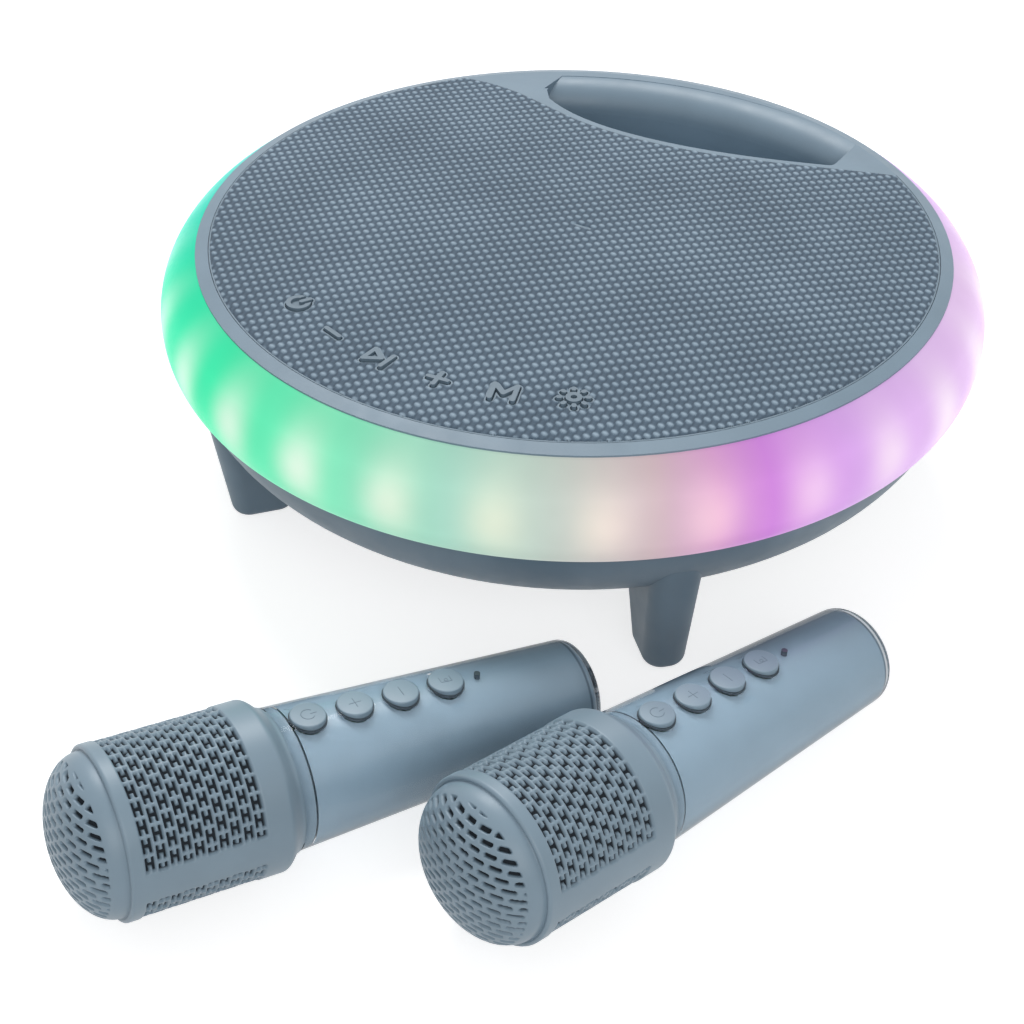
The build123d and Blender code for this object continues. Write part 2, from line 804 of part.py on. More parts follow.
# ================================================================ boards, cells and charge port
with BuildPart() as main_board:
    with BuildSketch(Plane((main_board_x, main_board_y, floor_top + main_board_lift))):
        Rectangle(main_board_length, main_board_width)
    extrude(amount=board_thickness)
    with BuildSketch(Plane((main_board_x, main_board_y, floor_top + main_board_lift + board_thickness))):
        with GridLocations(main_board_length / 3, main_board_width / 3, 2, 2):
            Rectangle(main_board_width / 4, main_board_width / 4)
    extrude(amount=board_thickness)
main_board.part.label = "main_board"
export_step(main_board.part, "parts/main_board.step")

cell_height = floor_top + cell_lift + cell_radius
with BuildPart() as battery_pack:
    with BuildSketch(Plane((-cell_length / 2, cell_y, cell_height), x_dir=(0, 1, 0), z_dir=(1, 0, 0))):
        with GridLocations(cell_pitch, 0, 2, 1):
            Circle(cell_radius)
    extrude(amount=cell_length)
battery_pack.part.label = "battery_pack"
export_step(battery_pack.part, "parts/battery_pack.step")

tray_bottom = cell_height - cell_radius - tray_wall
with BuildPart() as battery_tray:
    with BuildSketch(Plane((0, cell_y, tray_bottom))):
        Rectangle(cell_length + 2 * tray_wall, cell_pitch + 2 * cell_radius + 2 * tray_wall)
    extrude(amount=tray_height)
    with BuildSketch(
        Plane((-cell_length / 2 - fit_clearance, cell_y, cell_height), x_dir=(0, 1, 0), z_dir=(1, 0, 0))
    ):
        with GridLocations(cell_pitch, 0, 2, 1):
            Circle(cell_radius + fit_clearance)
        with Locations((0, cell_radius / 2)):
            Rectangle(cell_pitch + 2 * cell_radius + 2 * fit_clearance, cell_radius)
    extrude(amount=cell_length + 2 * fit_clearance, mode=Mode.SUBTRACT)
    with BuildSketch(Plane((0, cell_y - cell_radius, floor_top))):
        with GridLocations(cell_length - cell_radius, cell_radius, 2, 2):
            Rectangle(2 * tray_wall, 2 * tray_wall)
    extrude(amount=tray_bottom - floor_top)
battery_tray.part.label = "battery_tray"
export_step(battery_tray.part, "parts/battery_tray.step")


def port_socket(plane, length):
    """Hollow charging socket with its tongue, opening on the plane's side."""
    with BuildPart() as socket:
        with BuildSketch(plane):
            SlotOverall(port_width, port_height)
        extrude(amount=-length)
        with BuildSketch(plane):
            SlotOverall(port_width - 2 * port_wall, port_height - 2 * port_wall)
            Rectangle(port_width - port_height, port_wall * 2, mode=Mode.SUBTRACT)
        extrude(amount=port_wall - length, mode=Mode.SUBTRACT)
    return socket.part


charge_port = port_socket(
    Plane((-port_face_radius, 0, port_height_centre), x_dir=(0, 1, 0), z_dir=(-1, 0, 0)), port_length
)
charge_port.label = "charge_port"
export_step(charge_port, "parts/charge_port.step")

# ================================================================ microphones
tail_contact = tail_length - tail_rounding
taper = (sleeve_front_radius - sleeve_tail_radius) / (tail_length - neck_end)


def sleeve_radius(station):
    """Outer radius of the clear sleeve at a distance behind the head's ridge."""
    return sleeve_front_radius - taper * (station - neck_end)


mic_tilt = atan((head_radius - sleeve_radius(tail_contact)) / (tail_contact - head_length))


face_sphere_radius = (head_face_radius**2 + head_dome**2) / (2 * head_dome)
face_centre = face_sphere_radius - head_dome
face_inner_radius = sqrt((face_sphere_radius - head_wall) ** 2 - (face_centre - head_wall) ** 2)


def face_station(radius, inset=0.0):
    """Station of the domed face at a distance from the axis."""
    return face_centre - sqrt((face_sphere_radius - inset) ** 2 - radius**2)


def mic_frame(place):
    """Plane through a microphone's axis: X towards the tail, Y up; and its axis."""
    x, y, heading = place
    angle = radians(heading)
    along = Vector(cos(angle) * cos(mic_tilt), sin(angle) * cos(mic_tilt), -sin(mic_tilt))
    ridge_height = head_radius * cos(mic_tilt) + head_length * sin(mic_tilt)
    plane = Plane((x, y, ridge_height), x_dir=along, z_dir=(sin(angle), -cos(angle), 0))
    return plane, Axis(plane.origin, along)


def station_plane(plane, station, height=0.0, turn=0.0):
    """Plane at a station of the microphone that faces away from its axis, X towards the tail."""
    outward = plane.y_dir * cos(radians(turn)) + plane.z_dir * sin(radians(turn))
    return Plane(
        plane.origin + plane.x_dir * station + outward * height, x_dir=plane.x_dir, z_dir=outward
    )


def across_plane(plane, station, height=0.0):
    """Plane at a station of the microphone that faces its tail, Y up."""
    origin = plane.from_local_coords((station, height, 0))
    return Plane(origin, x_dir=-plane.z_dir, z_dir=plane.x_dir)


mic_key_stations = [mic_key_first + i * mic_key_pitch for i in range(mic_key_count)]
bore_inset = sleeve_wall + barrel_gap + barrel_wall
neck_seat = neck_end - head_wall
board_top = mic_board_height + mic_board_thickness
for mic_name, mic_place in mic_places.items():
    frame, mic_axis = mic_frame(mic_place)

    with BuildPart() as head_cover:
        with BuildSketch(frame):
            with BuildLine():
                ThreePointArc(*[(face_station(r), r) for r in (0, head_face_radius / 2, head_face_radius)])
                Polyline(
                    (0, head_face_radius),
                    (0, head_ridge_radius),
                    (head_radius - head_ridge_radius, head_radius),
                    (head_length, head_radius),
                    (head_length + head_shoulder, neck_radius + head_wall),
                    (neck_end, neck_radius),
                    (neck_end, neck_radius - head_wall),
                    (head_length, head_radius - 2 * head_wall),
                    (head_length - head_shoulder, head_radius - head_wall),
                    (head_wall, head_radius - head_wall),
                    (head_wall, face_inner_radius),
                )
                ThreePointArc(
                    *[
                        (face_station(r, head_wall), r)
                        for r in (face_inner_radius, face_inner_radius / 2, 0)
                    ]
                )
                Line((head_wall - head_dome, 0), (-head_dome, 0))
            make_face()
        revolve(axis=mic_axis)
        for window in range(window_count):
            for row in range(window_rows):
                turn = window * 360 / window_count + (row - (window_rows - 1) / 2) * window_row_angle
                with BuildSketch(station_plane(frame, window_start, head_face_radius / 2, turn)):
                    for column in range(window_columns):
                        with Locations((column * window_pitch, 0)):
                            SlotOverall(slot_length, slot_width, rotation=90)
                extrude(amount=head_radius, mode=Mode.SUBTRACT)
    head_cover.part.label = f"{mic_name}_head_cover"
    export_step(head_cover.part, f"parts/{mic_name}_head_cover.step")

    with BuildPart() as wind_foam:
        foam_radius = head_radius - head_wall - foam_gap
        foam_front = head_wall + foam_gap
        with BuildSketch(frame):
            with Locations((foam_front, 0)):
                Rectangle(
                    head_length - head_shoulder - foam_front, foam_radius, align=(Align.MIN, Align.MIN)
                )
            with Locations((foam_front + foam_thickness, 0)):
                Rectangle(
                    head_length, foam_radius - foam_thickness, align=(Align.MIN, Align.MIN),
                    mode=Mode.SUBTRACT,
                )
        revolve(axis=mic_axis)
    wind_foam.part.label = f"{mic_name}_wind_foam"
    export_step(wind_foam.part, f"parts/{mic_name}_wind_foam.step")

    with BuildPart() as capsule:
        with BuildSketch(across_plane(frame, capsule_front)):
            Circle(capsule_radius)
        extrude(amount=capsule_length)
    capsule.part.label = f"{mic_name}_capsule"
    export_step(capsule.part, f"parts/{mic_name}_capsule.step")

    barrel_tail = tail_length - sleeve_wall - barrel_gap
    with BuildPart() as bore:
        with BuildSketch(frame):
            with BuildLine():
                Polyline(
                    (neck_seat, 0),
                    (neck_seat, sleeve_radius(neck_seat) - bore_inset),
                    (barrel_tail - barrel_wall, sleeve_radius(barrel_tail) - bore_inset),
                    (barrel_tail - barrel_wall, 0),
                    close=True,
                )
            make_face()
        revolve(axis=mic_axis)
        with BuildSketch(across_plane(frame, mic_board_start, mic_board_height)):
            for side in (-1, 1):
                rail_centre = mic_board_width / 2 - rail_width / 2 + head_wall
                with Locations((side * rail_centre, -rail_thickness / 2)):
                    Rectangle(rail_width + 2 * head_wall, rail_thickness)
        extrude(amount=mic_board_end - mic_board_start, mode=Mode.SUBTRACT)

    with BuildPart() as inner_barrel:
        with BuildSketch(frame):
            with BuildLine():
                Polyline(
                    (capsule_front + capsule_length, 0),
                    (capsule_front + capsule_length, nose_radius),
                    (neck_seat - bulkhead_thickness, nose_radius),
                    (neck_seat - bulkhead_thickness, neck_radius - 2 * head_wall),
                    (neck_end, neck_radius - 2 * head_wall),
                    (neck_end, sleeve_radius(neck_end) - sleeve_wall - barrel_gap),
                    (barrel_tail, sleeve_radius(barrel_tail) - sleeve_wall - barrel_gap),
                    (barrel_tail, 0),
                    close=True,
                )
            make_face()
        revolve(axis=mic_axis)
        fillet(inner_barrel.edges().sort_by(mic_axis)[-1:], tail_fillet)
        add(bore.part, mode=Mode.SUBTRACT)
        for station in mic_key_stations:
            with BuildSketch(station_plane(frame, station)):
                Circle(mic_key_radius + mic_key_clearance)
            extrude(amount=head_radius, mode=Mode.SUBTRACT)
        with BuildSketch(station_plane(frame, indicator_station)):
            Circle(indicator_radius + fit_clearance)
        extrude(amount=head_radius, mode=Mode.SUBTRACT)
        with BuildSketch(across_plane(frame, barrel_tail - 2 * barrel_wall)):
            SlotOverall(port_width + 2 * fit_clearance, port_height + 2 * fit_clearance)
        extrude(amount=3 * barrel_wall, mode=Mode.SUBTRACT)
    inner_barrel.part.label = f"{mic_name}_inner_barrel"
    export_step(inner_barrel.part, f"parts/{mic_name}_inner_barrel.step")

    with BuildPart() as clear_sleeve:
        with BuildSketch(frame):
            with BuildLine():
                Polyline(
                    (neck_end + fit_clearance, 0),
                    (neck_end + fit_clearance, sleeve_radius(neck_end + fit_clearance)),
                    (tail_length, sleeve_radius(tail_length)),
                    (tail_length, 0),
                    close=True,
                )
            make_face()
        revolve(axis=mic_axis)
        fillet(clear_sleeve.edges().sort_by(mic_axis)[-1:], tail_rounding)
        with BuildSketch(frame):
            with BuildLine():
                Polyline(
                    (neck_end, 0),
                    (neck_end, sleeve_radius(neck_end) - sleeve_wall),
                    (tail_length - sleeve_wall, sleeve_radius(tail_length - sleeve_wall) - sleeve_wall),
                    (tail_length - sleeve_wall, 0),
                    close=True,
                )
            make_face()
        revolve(axis=mic_axis, mode=Mode.SUBTRACT)
        for station in mic_key_stations:
            with BuildSketch(station_plane(frame, station)):
                Circle(mic_key_radius + mic_key_clearance)
            extrude(amount=head_radius, mode=Mode.SUBTRACT)
        with BuildSketch(station_plane(frame, indicator_station)):
            Circle(indicator_radius + fit_clearance)
        extrude(amount=head_radius, mode=Mode.SUBTRACT)
        with BuildSketch(across_plane(frame, barrel_tail)):
            SlotOverall(port_width + 2 * fit_clearance, port_height + 2 * fit_clearance)
        extrude(amount=3 * barrel_wall, mode=Mode.SUBTRACT)
    clear_sleeve.part.label = f"{mic_name}_clear_sleeve"
    export_step(clear_sleeve.part, f"parts/{mic_name}_clear_sleeve.step")

    with BuildPart() as board:
        with BuildSketch(
            station_plane(frame, (mic_board_start + mic_board_end) / 2, mic_board_height)
        ):
            Rectangle(mic_board_end - mic_board_start, mic_board_width)
        extrude(amount=mic_board_thickness)
        for station in mic_key_stations:
            flange_bottom = sleeve_radius(station) - bore_inset - mic_key_drop - mic_key_flange
            switch_height = max(flange_bottom - key_travel - switch_gap - board_top, mic_board_thickness)
            with BuildSketch(station_plane(frame, station, board_top)):
                Rectangle(mic_switch_size, mic_switch_size)
            extrude(amount=switch_height)
    board.part.label = f"{mic_name}_board"
    export_step(board.part, f"parts/{mic_name}_board.step")

    with BuildPart() as cell:
        with BuildSketch(
            across_plane(frame, mic_cell_start, mic_board_height - fit_clearance - mic_cell_radius)
        ):
            Circle(mic_cell_radius)
        extrude(amount=mic_cell_length)
    cell.part.label = f"{mic_name}_battery"
    export_step(cell.part, f"parts/{mic_name}_battery.step")

    with BuildPart() as indicator:
        with BuildSketch(station_plane(frame, indicator_station, board_top)):
            Circle(indicator_radius)
        extrude(amount=sleeve_radius(indicator_station) + indicator_proud - board_top)
    indicator.part.label = f"{mic_name}_indicator"
    export_step(indicator.part, f"parts/{mic_name}_indicator.step")

    mic_port = port_socket(across_plane(frame, tail_length - fit_clearance), mic_port_length)
    mic_port.label = f"{mic_name}_charge_port"
    export_step(mic_port, f"parts/{mic_name}_charge_port.step")

    for number, station in enumerate(mic_key_stations, 1):
        flange_top = sleeve_radius(station) - bore_inset - mic_key_drop
        key_top = sleeve_radius(station) + mic_key_proud
        with BuildPart() as mic_key:
            with BuildSketch(station_plane(frame, station, flange_top - mic_key_flange)):
                Circle(mic_key_flange_radius)
            extrude(amount=mic_key_flange)
            with BuildSketch(station_plane(frame, station, flange_top)):
                Circle(mic_key_radius)
            extrude(amount=key_top - flange_top)
            fillet(mic_key.edges().sort_by(Axis(frame.origin, frame.y_dir))[-1:], mic_key_edge)
        mic_key.part.label = f"{mic_name}_key_{number}"
        export_step(mic_key.part, f"parts/{mic_name}_key_{number}.step")
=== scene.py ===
import math

import bmesh
import bpy
import numpy as np
from mathutils import Matrix, Vector, kdtree
from mathutils.bvhtree import BVHTree


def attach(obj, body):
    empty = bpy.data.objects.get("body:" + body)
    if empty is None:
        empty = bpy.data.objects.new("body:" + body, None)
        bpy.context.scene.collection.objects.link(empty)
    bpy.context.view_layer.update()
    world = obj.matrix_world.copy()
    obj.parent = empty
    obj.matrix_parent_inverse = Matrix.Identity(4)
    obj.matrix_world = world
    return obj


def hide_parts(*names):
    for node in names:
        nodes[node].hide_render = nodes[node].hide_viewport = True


# A disc-shaped karaoke speaker with a lit ring, and two wireless microphones with clear sleeves.
# Everything is in metres, in the CAD's frame: origin on the ground under the disc, +Z up.

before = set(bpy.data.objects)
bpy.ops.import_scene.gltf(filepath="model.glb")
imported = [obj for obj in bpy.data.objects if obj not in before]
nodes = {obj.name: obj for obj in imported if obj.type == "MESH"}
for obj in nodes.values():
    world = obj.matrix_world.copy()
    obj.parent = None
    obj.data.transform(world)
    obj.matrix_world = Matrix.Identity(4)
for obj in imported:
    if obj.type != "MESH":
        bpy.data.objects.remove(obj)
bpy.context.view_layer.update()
scene = bpy.context.scene
MM = 0.001

# ---------------------------------------------------------------- camera
CAMERA_PLACE = (0.2742, -0.4992, 0.4128)
CAMERA_FORWARD = Vector((-0.4032, 0.6797, -0.6127)).normalized()
CAMERA_UP_HINT = Vector((-0.3228, 0.5209, 0.7903))
FOCAL_PIXELS = 2000
PICTURE_PIXELS = 1024

right = CAMERA_FORWARD.cross(CAMERA_UP_HINT).normalized()
up = right.cross(CAMERA_FORWARD).normalized()
camera_data = bpy.data.cameras.new("camera")
camera_data.sensor_width = 36.0
camera_data.lens = camera_data.sensor_width * FOCAL_PIXELS / PICTURE_PIXELS
camera = bpy.data.objects.new("camera", camera_data)
turn = Matrix((right, up, -CAMERA_FORWARD)).transposed().to_4x4()
camera.matrix_world = Matrix.Translation(CAMERA_PLACE) @ turn
scene.collection.objects.link(camera)
scene.camera = camera
scene.view_settings.view_transform = "Standard"


# ---------------------------------------------------------------- node helpers
class Tree:
    """A material's node tree, built by short calls."""

    def __init__(self, name):
        self.material = bpy.data.materials.new(name)
        self.material.use_nodes = True
        self.tree = self.material.node_tree
        self.tree.nodes.clear()
        self.output = self.node("ShaderNodeOutputMaterial")
        self.place = self.node("ShaderNodeTexCoord").outputs["Object"]

    def node(self, kind, **settings):
        made = self.tree.nodes.new(kind)
        for key, value in settings.items():
            setattr(made, key, value)
        return made

    def link(self, source, target):
        self.tree.links.new(source, target)

    def feed(self, socket, value):
        if isinstance(value, bpy.types.NodeSocket):
            self.link(value, socket)
        else:
            socket.default_value = value

    def math(self, operation, *values, clamp=False):
        made = self.node("ShaderNodeMath", operation=operation, use_clamp=clamp)
        for socket, value in zip(made.inputs, values):
            self.feed(socket, value)
        return made.outputs[0]

    def noise(self, scale, detail=3.0, roughness=0.5):
        made = self.node("ShaderNodeTexNoise")
        self.link(self.place, made.inputs["Vector"])
        made.inputs["Scale"].default_value = scale
        made.inputs["Detail"].default_value = detail
        made.inputs["Roughness"].default_value = roughness
        return made.outputs["Fac"]

    def spread(self, value, low, high, to_low=0.0, to_high=1.0):
        made = self.node("ShaderNodeMapRange", clamp=True)
        for socket, number in zip(made.inputs, (value, low, high, to_low, to_high)):
            self.feed(socket, number)
        return made.outputs[0]

    def mix(self, share, first, second):
        made = self.node("ShaderNodeMix", data_type="RGBA")
        self.feed(made.inputs[0], share)
        self.feed(made.inputs[6], first)
        self.feed(made.inputs[7], second)
        return made.outputs[2]

    def bump(self, height, strength, distance=0.0002):
        made = self.node("ShaderNodeBump")
        made.inputs["Strength"].default_value = strength
        made.inputs["Distance"].default_value = distance
        self.link(height, made.inputs["Height"])
        return made.outputs[0]

    def surface(self, **values):
        shader = self.node("ShaderNodeBsdfPrincipled")
        for key, value in values.items():
            self.feed(shader.inputs[key.replace("_", " ")], value)
        return shader

    def done(self, shader):
        self.link(shader.outputs[0], self.output.inputs["Surface"])
        return self.material


def tone(red, green, blue):
    """Linear colour of 8-bit sRGB values."""
    return tuple(
        (c / 12.92 if c <= 0.04045 else ((c + 0.055) / 1.055) ** 2.4)
        for c in (red / 255, green / 255, blue / 255)
    ) + (1.0,)


def shade(colour, share):
    return tuple(c * share for c in colour[:3]) + (1.0,)


def moulded(name, colour, roughness=0.45, grain=2600.0, grain_depth=0.08, variation=0.06, coat=0.0):
    """Moulded plastic: a faint cloud in the tone, a fine satin grain and uneven polish."""
    m = Tree(name)
    cloud = m.spread(m.noise(45.0, 4.0), 0.3, 0.7)
    fine = m.noise(grain, 2.0)
    base = m.mix(cloud, shade(colour, 1 - variation), shade(colour, 1 + variation))
    polish = m.spread(m.noise(160.0, 3.0), 0.3, 0.7, roughness - 0.04, roughness + 0.05)
    shader = m.surface(Base_Color=base, Roughness=polish, Normal=m.bump(fine, grain_depth))
    shader.inputs["Coat Weight"].default_value = coat
    shader.inputs["Coat Roughness"].default_value = 0.08
    return m.done(shader)


def metal(name, colour, roughness=0.3):
    """Drawn or plated metal with fine streaks."""
    m = Tree(name)
    streak = m.noise(900.0, 2.0)
    base = m.mix(m.spread(streak, 0.3, 0.7), shade(colour, 0.9), colour)
    polish = m.spread(m.noise(300.0, 3.0), 0.3, 0.7, roughness - 0.06, roughness + 0.1)
    shader = m.surface(Base_Color=base, Roughness=polish, Normal=m.bump(streak, 0.05))
    shader.inputs["Metallic"].default_value = 1.0
    return m.done(shader)


BODY = tone(120, 141, 157)
HEAD = tone(128, 149, 164)
DARK = tone(26, 34, 42)

shell_look = moulded("shell_plastic", shade(BODY, 0.86), 0.5)
bezel_look = moulded("bezel_plastic", BODY, 0.42)
key_look = moulded("key_rubber", shade(BODY, 0.74), 0.5, 1800.0, 0.06)
head_plain = moulded("mic_plastic", HEAD, 0.4)
barrel_look = moulded("barrel_plastic", shade(HEAD, 0.86), 0.32, grain_depth=0.02)
mic_key_look = moulded("mic_key_plastic", shade(HEAD, 1.04), 0.4)
icon_look = moulded("mic_icon_paint", shade(HEAD, 0.8), 0.5)
# painted shade for the gap round the microphone keys
gap_shade_look = moulded("key_outline", shade(HEAD, 0.22), 0.6)
inner_look = moulded("inner_plastic", tone(40, 44, 50), 0.6)
board_look = moulded("board_mask", tone(20, 84, 52), 0.4, 900.0, 0.15, 0.2)
resin_look = moulded("lamp_resin", tone(245, 245, 236), 0.25)
switch_look = moulded("switch_plastic", tone(30, 30, 32), 0.5)
wrap_look = moulded("cell_wrap", tone(60, 110, 180), 0.3)
cone_look = moulded("cone_fibre", tone(36, 36, 38), 0.85, 1500.0, 0.5, 0.25)
rubber_look = moulded("surround_rubber", tone(28, 28, 29), 0.65)
foam_look = moulded("wind_foam", tone(26, 31, 36), 0.95, 700.0, 0.9, 0.3)
indicator_look = moulded("indicator_resin", tone(62, 72, 82), 0.2, coat=0.6)
steel_look = metal("screw_steel", (0.55, 0.56, 0.58, 1.0))
basket_look = moulded("basket_paint", tone(48, 48, 50), 0.6, 1200.0, 0.3)
magnet_look = metal("magnet_plate", (0.22, 0.22, 0.23, 1.0), 0.45)
capsule_look = metal("capsule_metal", (0.6, 0.6, 0.61, 1.0), 0.25)


# ---------------------------------------------------------------- the lit ring
RING_STOPS = [  # azimuth in degrees, the glow between the lamps, the glow over a lamp
    (-180, (0, 220, 214), (96, 236, 224)),
    (-160, (0, 228, 200), (120, 242, 222)),
    (-138, (8, 236, 178), (176, 250, 220)),
    (-116, (58, 240, 176), (214, 252, 228)),
    (-96, (118, 242, 190), (232, 253, 234)),
    (-76, (174, 225, 205), (228, 246, 222)),
    (-63, (202, 215, 205), (238, 240, 220)),
    (-50, (215, 190, 196), (250, 222, 222)),
    (-42, (220, 160, 212), (250, 200, 226)),
    (-35, (214, 138, 228), (244, 190, 242)),
    (-22, (222, 172, 240), (250, 222, 250)),
    (-4, (230, 192, 244), (252, 234, 252)),
    (22, (236, 204, 244), (250, 236, 252)),
    (60, (220, 176, 246), (242, 220, 252)),
    (110, (150, 170, 246), (200, 214, 252)),
    (150, (70, 190, 228), (140, 222, 244)),
    (180, (40, 208, 196), (110, 232, 218)),
]
LAMP_COUNT = 27
LAMP_START = -96.3
LAMP_HEIGHT = 0.0700
LAMP_SPREAD = 0.0105
GLOW_STRENGTH = 0.88


def ring_material():
    m = Tree("lit_diffuser")
    parts = m.node("ShaderNodeSeparateXYZ")
    m.link(m.place, parts.inputs[0])
    angle = m.math("ARCTAN2", parts.outputs["Y"], parts.outputs["X"])
    share = m.math("MULTIPLY_ADD", angle, 0.5 / math.pi, 0.5)
    ramps = []
    for column in (1, 2):
        ramp = m.node("ShaderNodeValToRGB")
        points = ramp.color_ramp.elements
        while len(points) < len(RING_STOPS):
            points.new(0.5)
        for point, stop in zip(points, RING_STOPS):
            point.position = (stop[0] + 180) / 360
            point.color = tone(*stop[column])
        m.link(share, ramp.inputs[0])
        ramps.append(ramp.outputs[0])
    phase = m.math("MULTIPLY_ADD", angle, float(LAMP_COUNT), -math.radians(LAMP_START) * LAMP_COUNT)
    wave = m.math("MULTIPLY_ADD", m.math("COSINE", phase), 0.5, 0.5)
    round_wave = m.math("POWER", wave, 1.4)
    rise = m.math("SUBTRACT", parts.outputs["Z"], LAMP_HEIGHT)
    near = m.math("POWER", m.math("DIVIDE", rise, LAMP_SPREAD), 2.0)
    level = m.math("EXPONENT", m.math("MULTIPLY", near, -1.0))
    spot = m.math("MULTIPLY", round_wave, level, clamp=True)
    cloud = m.spread(m.noise(60.0, 2.0), 0.3, 0.7, 0.94, 1.0)
    glow = m.mix(spot, ramps[0], ramps[1])
    edge = m.spread(m.math("ABSOLUTE", rise), 0.007, 0.0165, 1.0, 0.80)
    # the lower hem of the diffuser is dimmer
    hem = m.spread(rise, -0.0149, -0.0136, 0.5, 1.0)
    strength = m.math("MULTIPLY", m.math("MULTIPLY", edge, cloud), m.math("MULTIPLY", hem, GLOW_STRENGTH))
    shader = m.surface(
        Base_Color=m.mix(0.85, ramps[0], (0.02, 0.02, 0.02, 1.0)),
        Roughness=m.spread(m.noise(700.0, 2.0), 0.3, 0.7, 0.3, 0.38),
        Emission_Color=glow,
        Emission_Strength=strength,
        Normal=m.bump(m.noise(2400.0, 2.0), 0.03),
    )
    shader.inputs["Specular IOR Level"].default_value = 0.08
    return m.done(shader)


# ---------------------------------------------------------------- clear plastic
CLEAR_INDEX = 1.16  # low, so that the outline stays free of bright reflections


def clear_material():
    m = Tree("clear_sleeve")
    haze = m.spread(m.noise(90.0, 3.0), 0.3, 0.7, 0.015, 0.04)
    # painted shade: dark towards the outline, for the dark edges of a thick clear wall, and on the painted
    # shade lines stored with the mesh
    facing = m.node("ShaderNodeLayerWeight")
    facing.inputs["Blend"].default_value = 0.5
    rim = m.spread(facing.outputs["Facing"], 0.62, 0.9)
    line = m.node("ShaderNodeAttribute", attribute_name="shade").outputs["Fac"]
    tint_and_painted_shade = m.mix(m.math("MAXIMUM", rim, line), (0.92, 0.95, 0.97, 1.0), (0.05, 0.075, 0.10, 1.0))
    shader = m.surface(Base_Color=tint_and_painted_shade, Roughness=haze)
    shader.inputs["Specular IOR Level"].default_value = 0.2
    shader.inputs["Transmission Weight"].default_value = 1.0
    shader.inputs["IOR"].default_value = CLEAR_INDEX
    passing = m.node("ShaderNodeBsdfTransparent")
    passing.inputs[0].default_value = (0.93, 0.95, 0.97, 1.0)
    choose = m.node("ShaderNodeMixShader")
    m.link(m.node("ShaderNodeLightPath").outputs["Is Shadow Ray"], choose.inputs[0])
    m.link(shader.outputs[0], choose.inputs[1])
    m.link(passing.outputs[0], choose.inputs[2])
    return m.done(choose)


# ---------------------------------------------------------------- finishes that follow a stored value, with painted highlight and shade
def woven_material():
    """Yarn: painted highlight on the crowns, painted shade in the gaps, fine twisted fibres."""
    m = Tree("woven_yarn")
    height = m.node("ShaderNodeAttribute", attribute_name="crown").outputs["Fac"]
    fibre = m.noise(3200.0, 3.0, 0.6)
    cloud = m.spread(m.noise(30.0, 3.0), 0.3, 0.7, -0.05, 0.05)
    lift = m.math("ADD", m.math("MULTIPLY_ADD", m.math("SUBTRACT", fibre, 0.5), 0.35, height), cloud)
    # painted shade in the gaps and painted highlight on the crowns, from the stored yarn height
    low = m.mix(m.spread(lift, 0.12, 0.58), tone(32, 45, 58), tone(80, 99, 116))
    base = m.mix(m.spread(lift, 0.58, 1.0), low, tone(150, 170, 186))
    shader = m.surface(Base_Color=base, Roughness=0.78, Normal=m.bump(fibre, 0.25))
    shader.inputs["Sheen Weight"].default_value = 0.12
    shader.inputs["Sheen Roughness"].default_value = 0.5
    shader.inputs["Specular IOR Level"].default_value = 0.3
    return m.done(shader)


def slotted_material():
    """Head plastic whose slots end on the dark foam, and whose neck under the sleeve is darkened with
    painted shade.
    """
    m = Tree("mic_head_plastic")
    darkening = m.node("ShaderNodeAttribute", attribute_name="slot_and_neck_shade").outputs["Fac"]
    cloud = m.spread(m.noise(45.0, 4.0), 0.3, 0.7)
    fine = m.noise(2600.0, 2.0)
    plastic = m.mix(cloud, shade(HEAD, 0.95), shade(HEAD, 1.05))
    base = m.mix(m.spread(darkening, 0.35, 0.9), plastic, DARK)
    polish = m.spread(darkening, 0.4, 0.9, 0.4, 0.9)
    shader = m.surface(Base_Color=base, Roughness=polish, Normal=m.bump(fine, 0.06))
    return m.done(shader)


head_look = slotted_material()

# ---------------------------------------------------------------- finishes of the carried-over CAD nodes
looks = {
    "lower_shell": shell_look,
    "leg_front_left": shell_look,
    "leg_front_right": shell_look,
    "leg_rear_left": shell_look,
    "leg_rear_right": shell_look,
    "leg_screws": steel_look,
    "case_screws": steel_look,
    "light_ring": ring_material(),
    "led_board": board_look,
    "leds": resin_look,
    "top_shell": bezel_look,
    "grille_skin": shell_look,
    "grille_frame": inner_look,
    "driver_basket": basket_look,
    "driver_magnet": magnet_look,
    "driver_cone": cone_look,
    "driver_surround": rubber_look,
    "main_board": board_look,
    "key_board": board_look,
    "key_switches": switch_look,
    "battery_pack": wrap_look,
    "battery_tray": inner_look,
    "charge_port": steel_look,
}
mic_looks = {
    "head_cover": head_plain,
    "wind_foam": foam_look,
    "capsule": capsule_look,
    "inner_barrel": barrel_look,
    "clear_sleeve": clear_material(),
    "board": board_look,
    "battery": wrap_look,
    "indicator": indicator_look,
    "charge_port": steel_look,
}
for name, node in nodes.items():
    if name in looks:
        look = looks[name]
    elif name.startswith("mic_"):
        part = name.split("_", 2)[2]
        look = mic_key_look if part.startswith("key_") else mic_looks[part]
    else:
        look = key_look
    node.data.materials.clear()
    node.data.materials.append(look)


for name in ("leg_front_left", "leg_front_right", "leg_rear_left", "leg_rear_right"):
    softened = nodes[name].modifiers.new("softened_edges", "BEVEL")
    softened.width = 1.4 * MM
    softened.segments = 3
    softened.limit_method = "ANGLE"
    softened.angle_limit = math.radians(35)


def add_mesh(name, points, faces, look, body, smooth=True):
    """A new piece from arrays of points and faces; quads may repeat no corner."""
    data = bpy.data.meshes.new(name)
    data.from_pydata([tuple(p) for p in points], [], [tuple(f) for f in faces])
    data.validate()
    if smooth:
        data.shade_smooth()
    data.materials.append(look)
    made = bpy.data.objects.new(name, data)
    scene.collection.objects.link(made)
    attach(made, body)
    return made


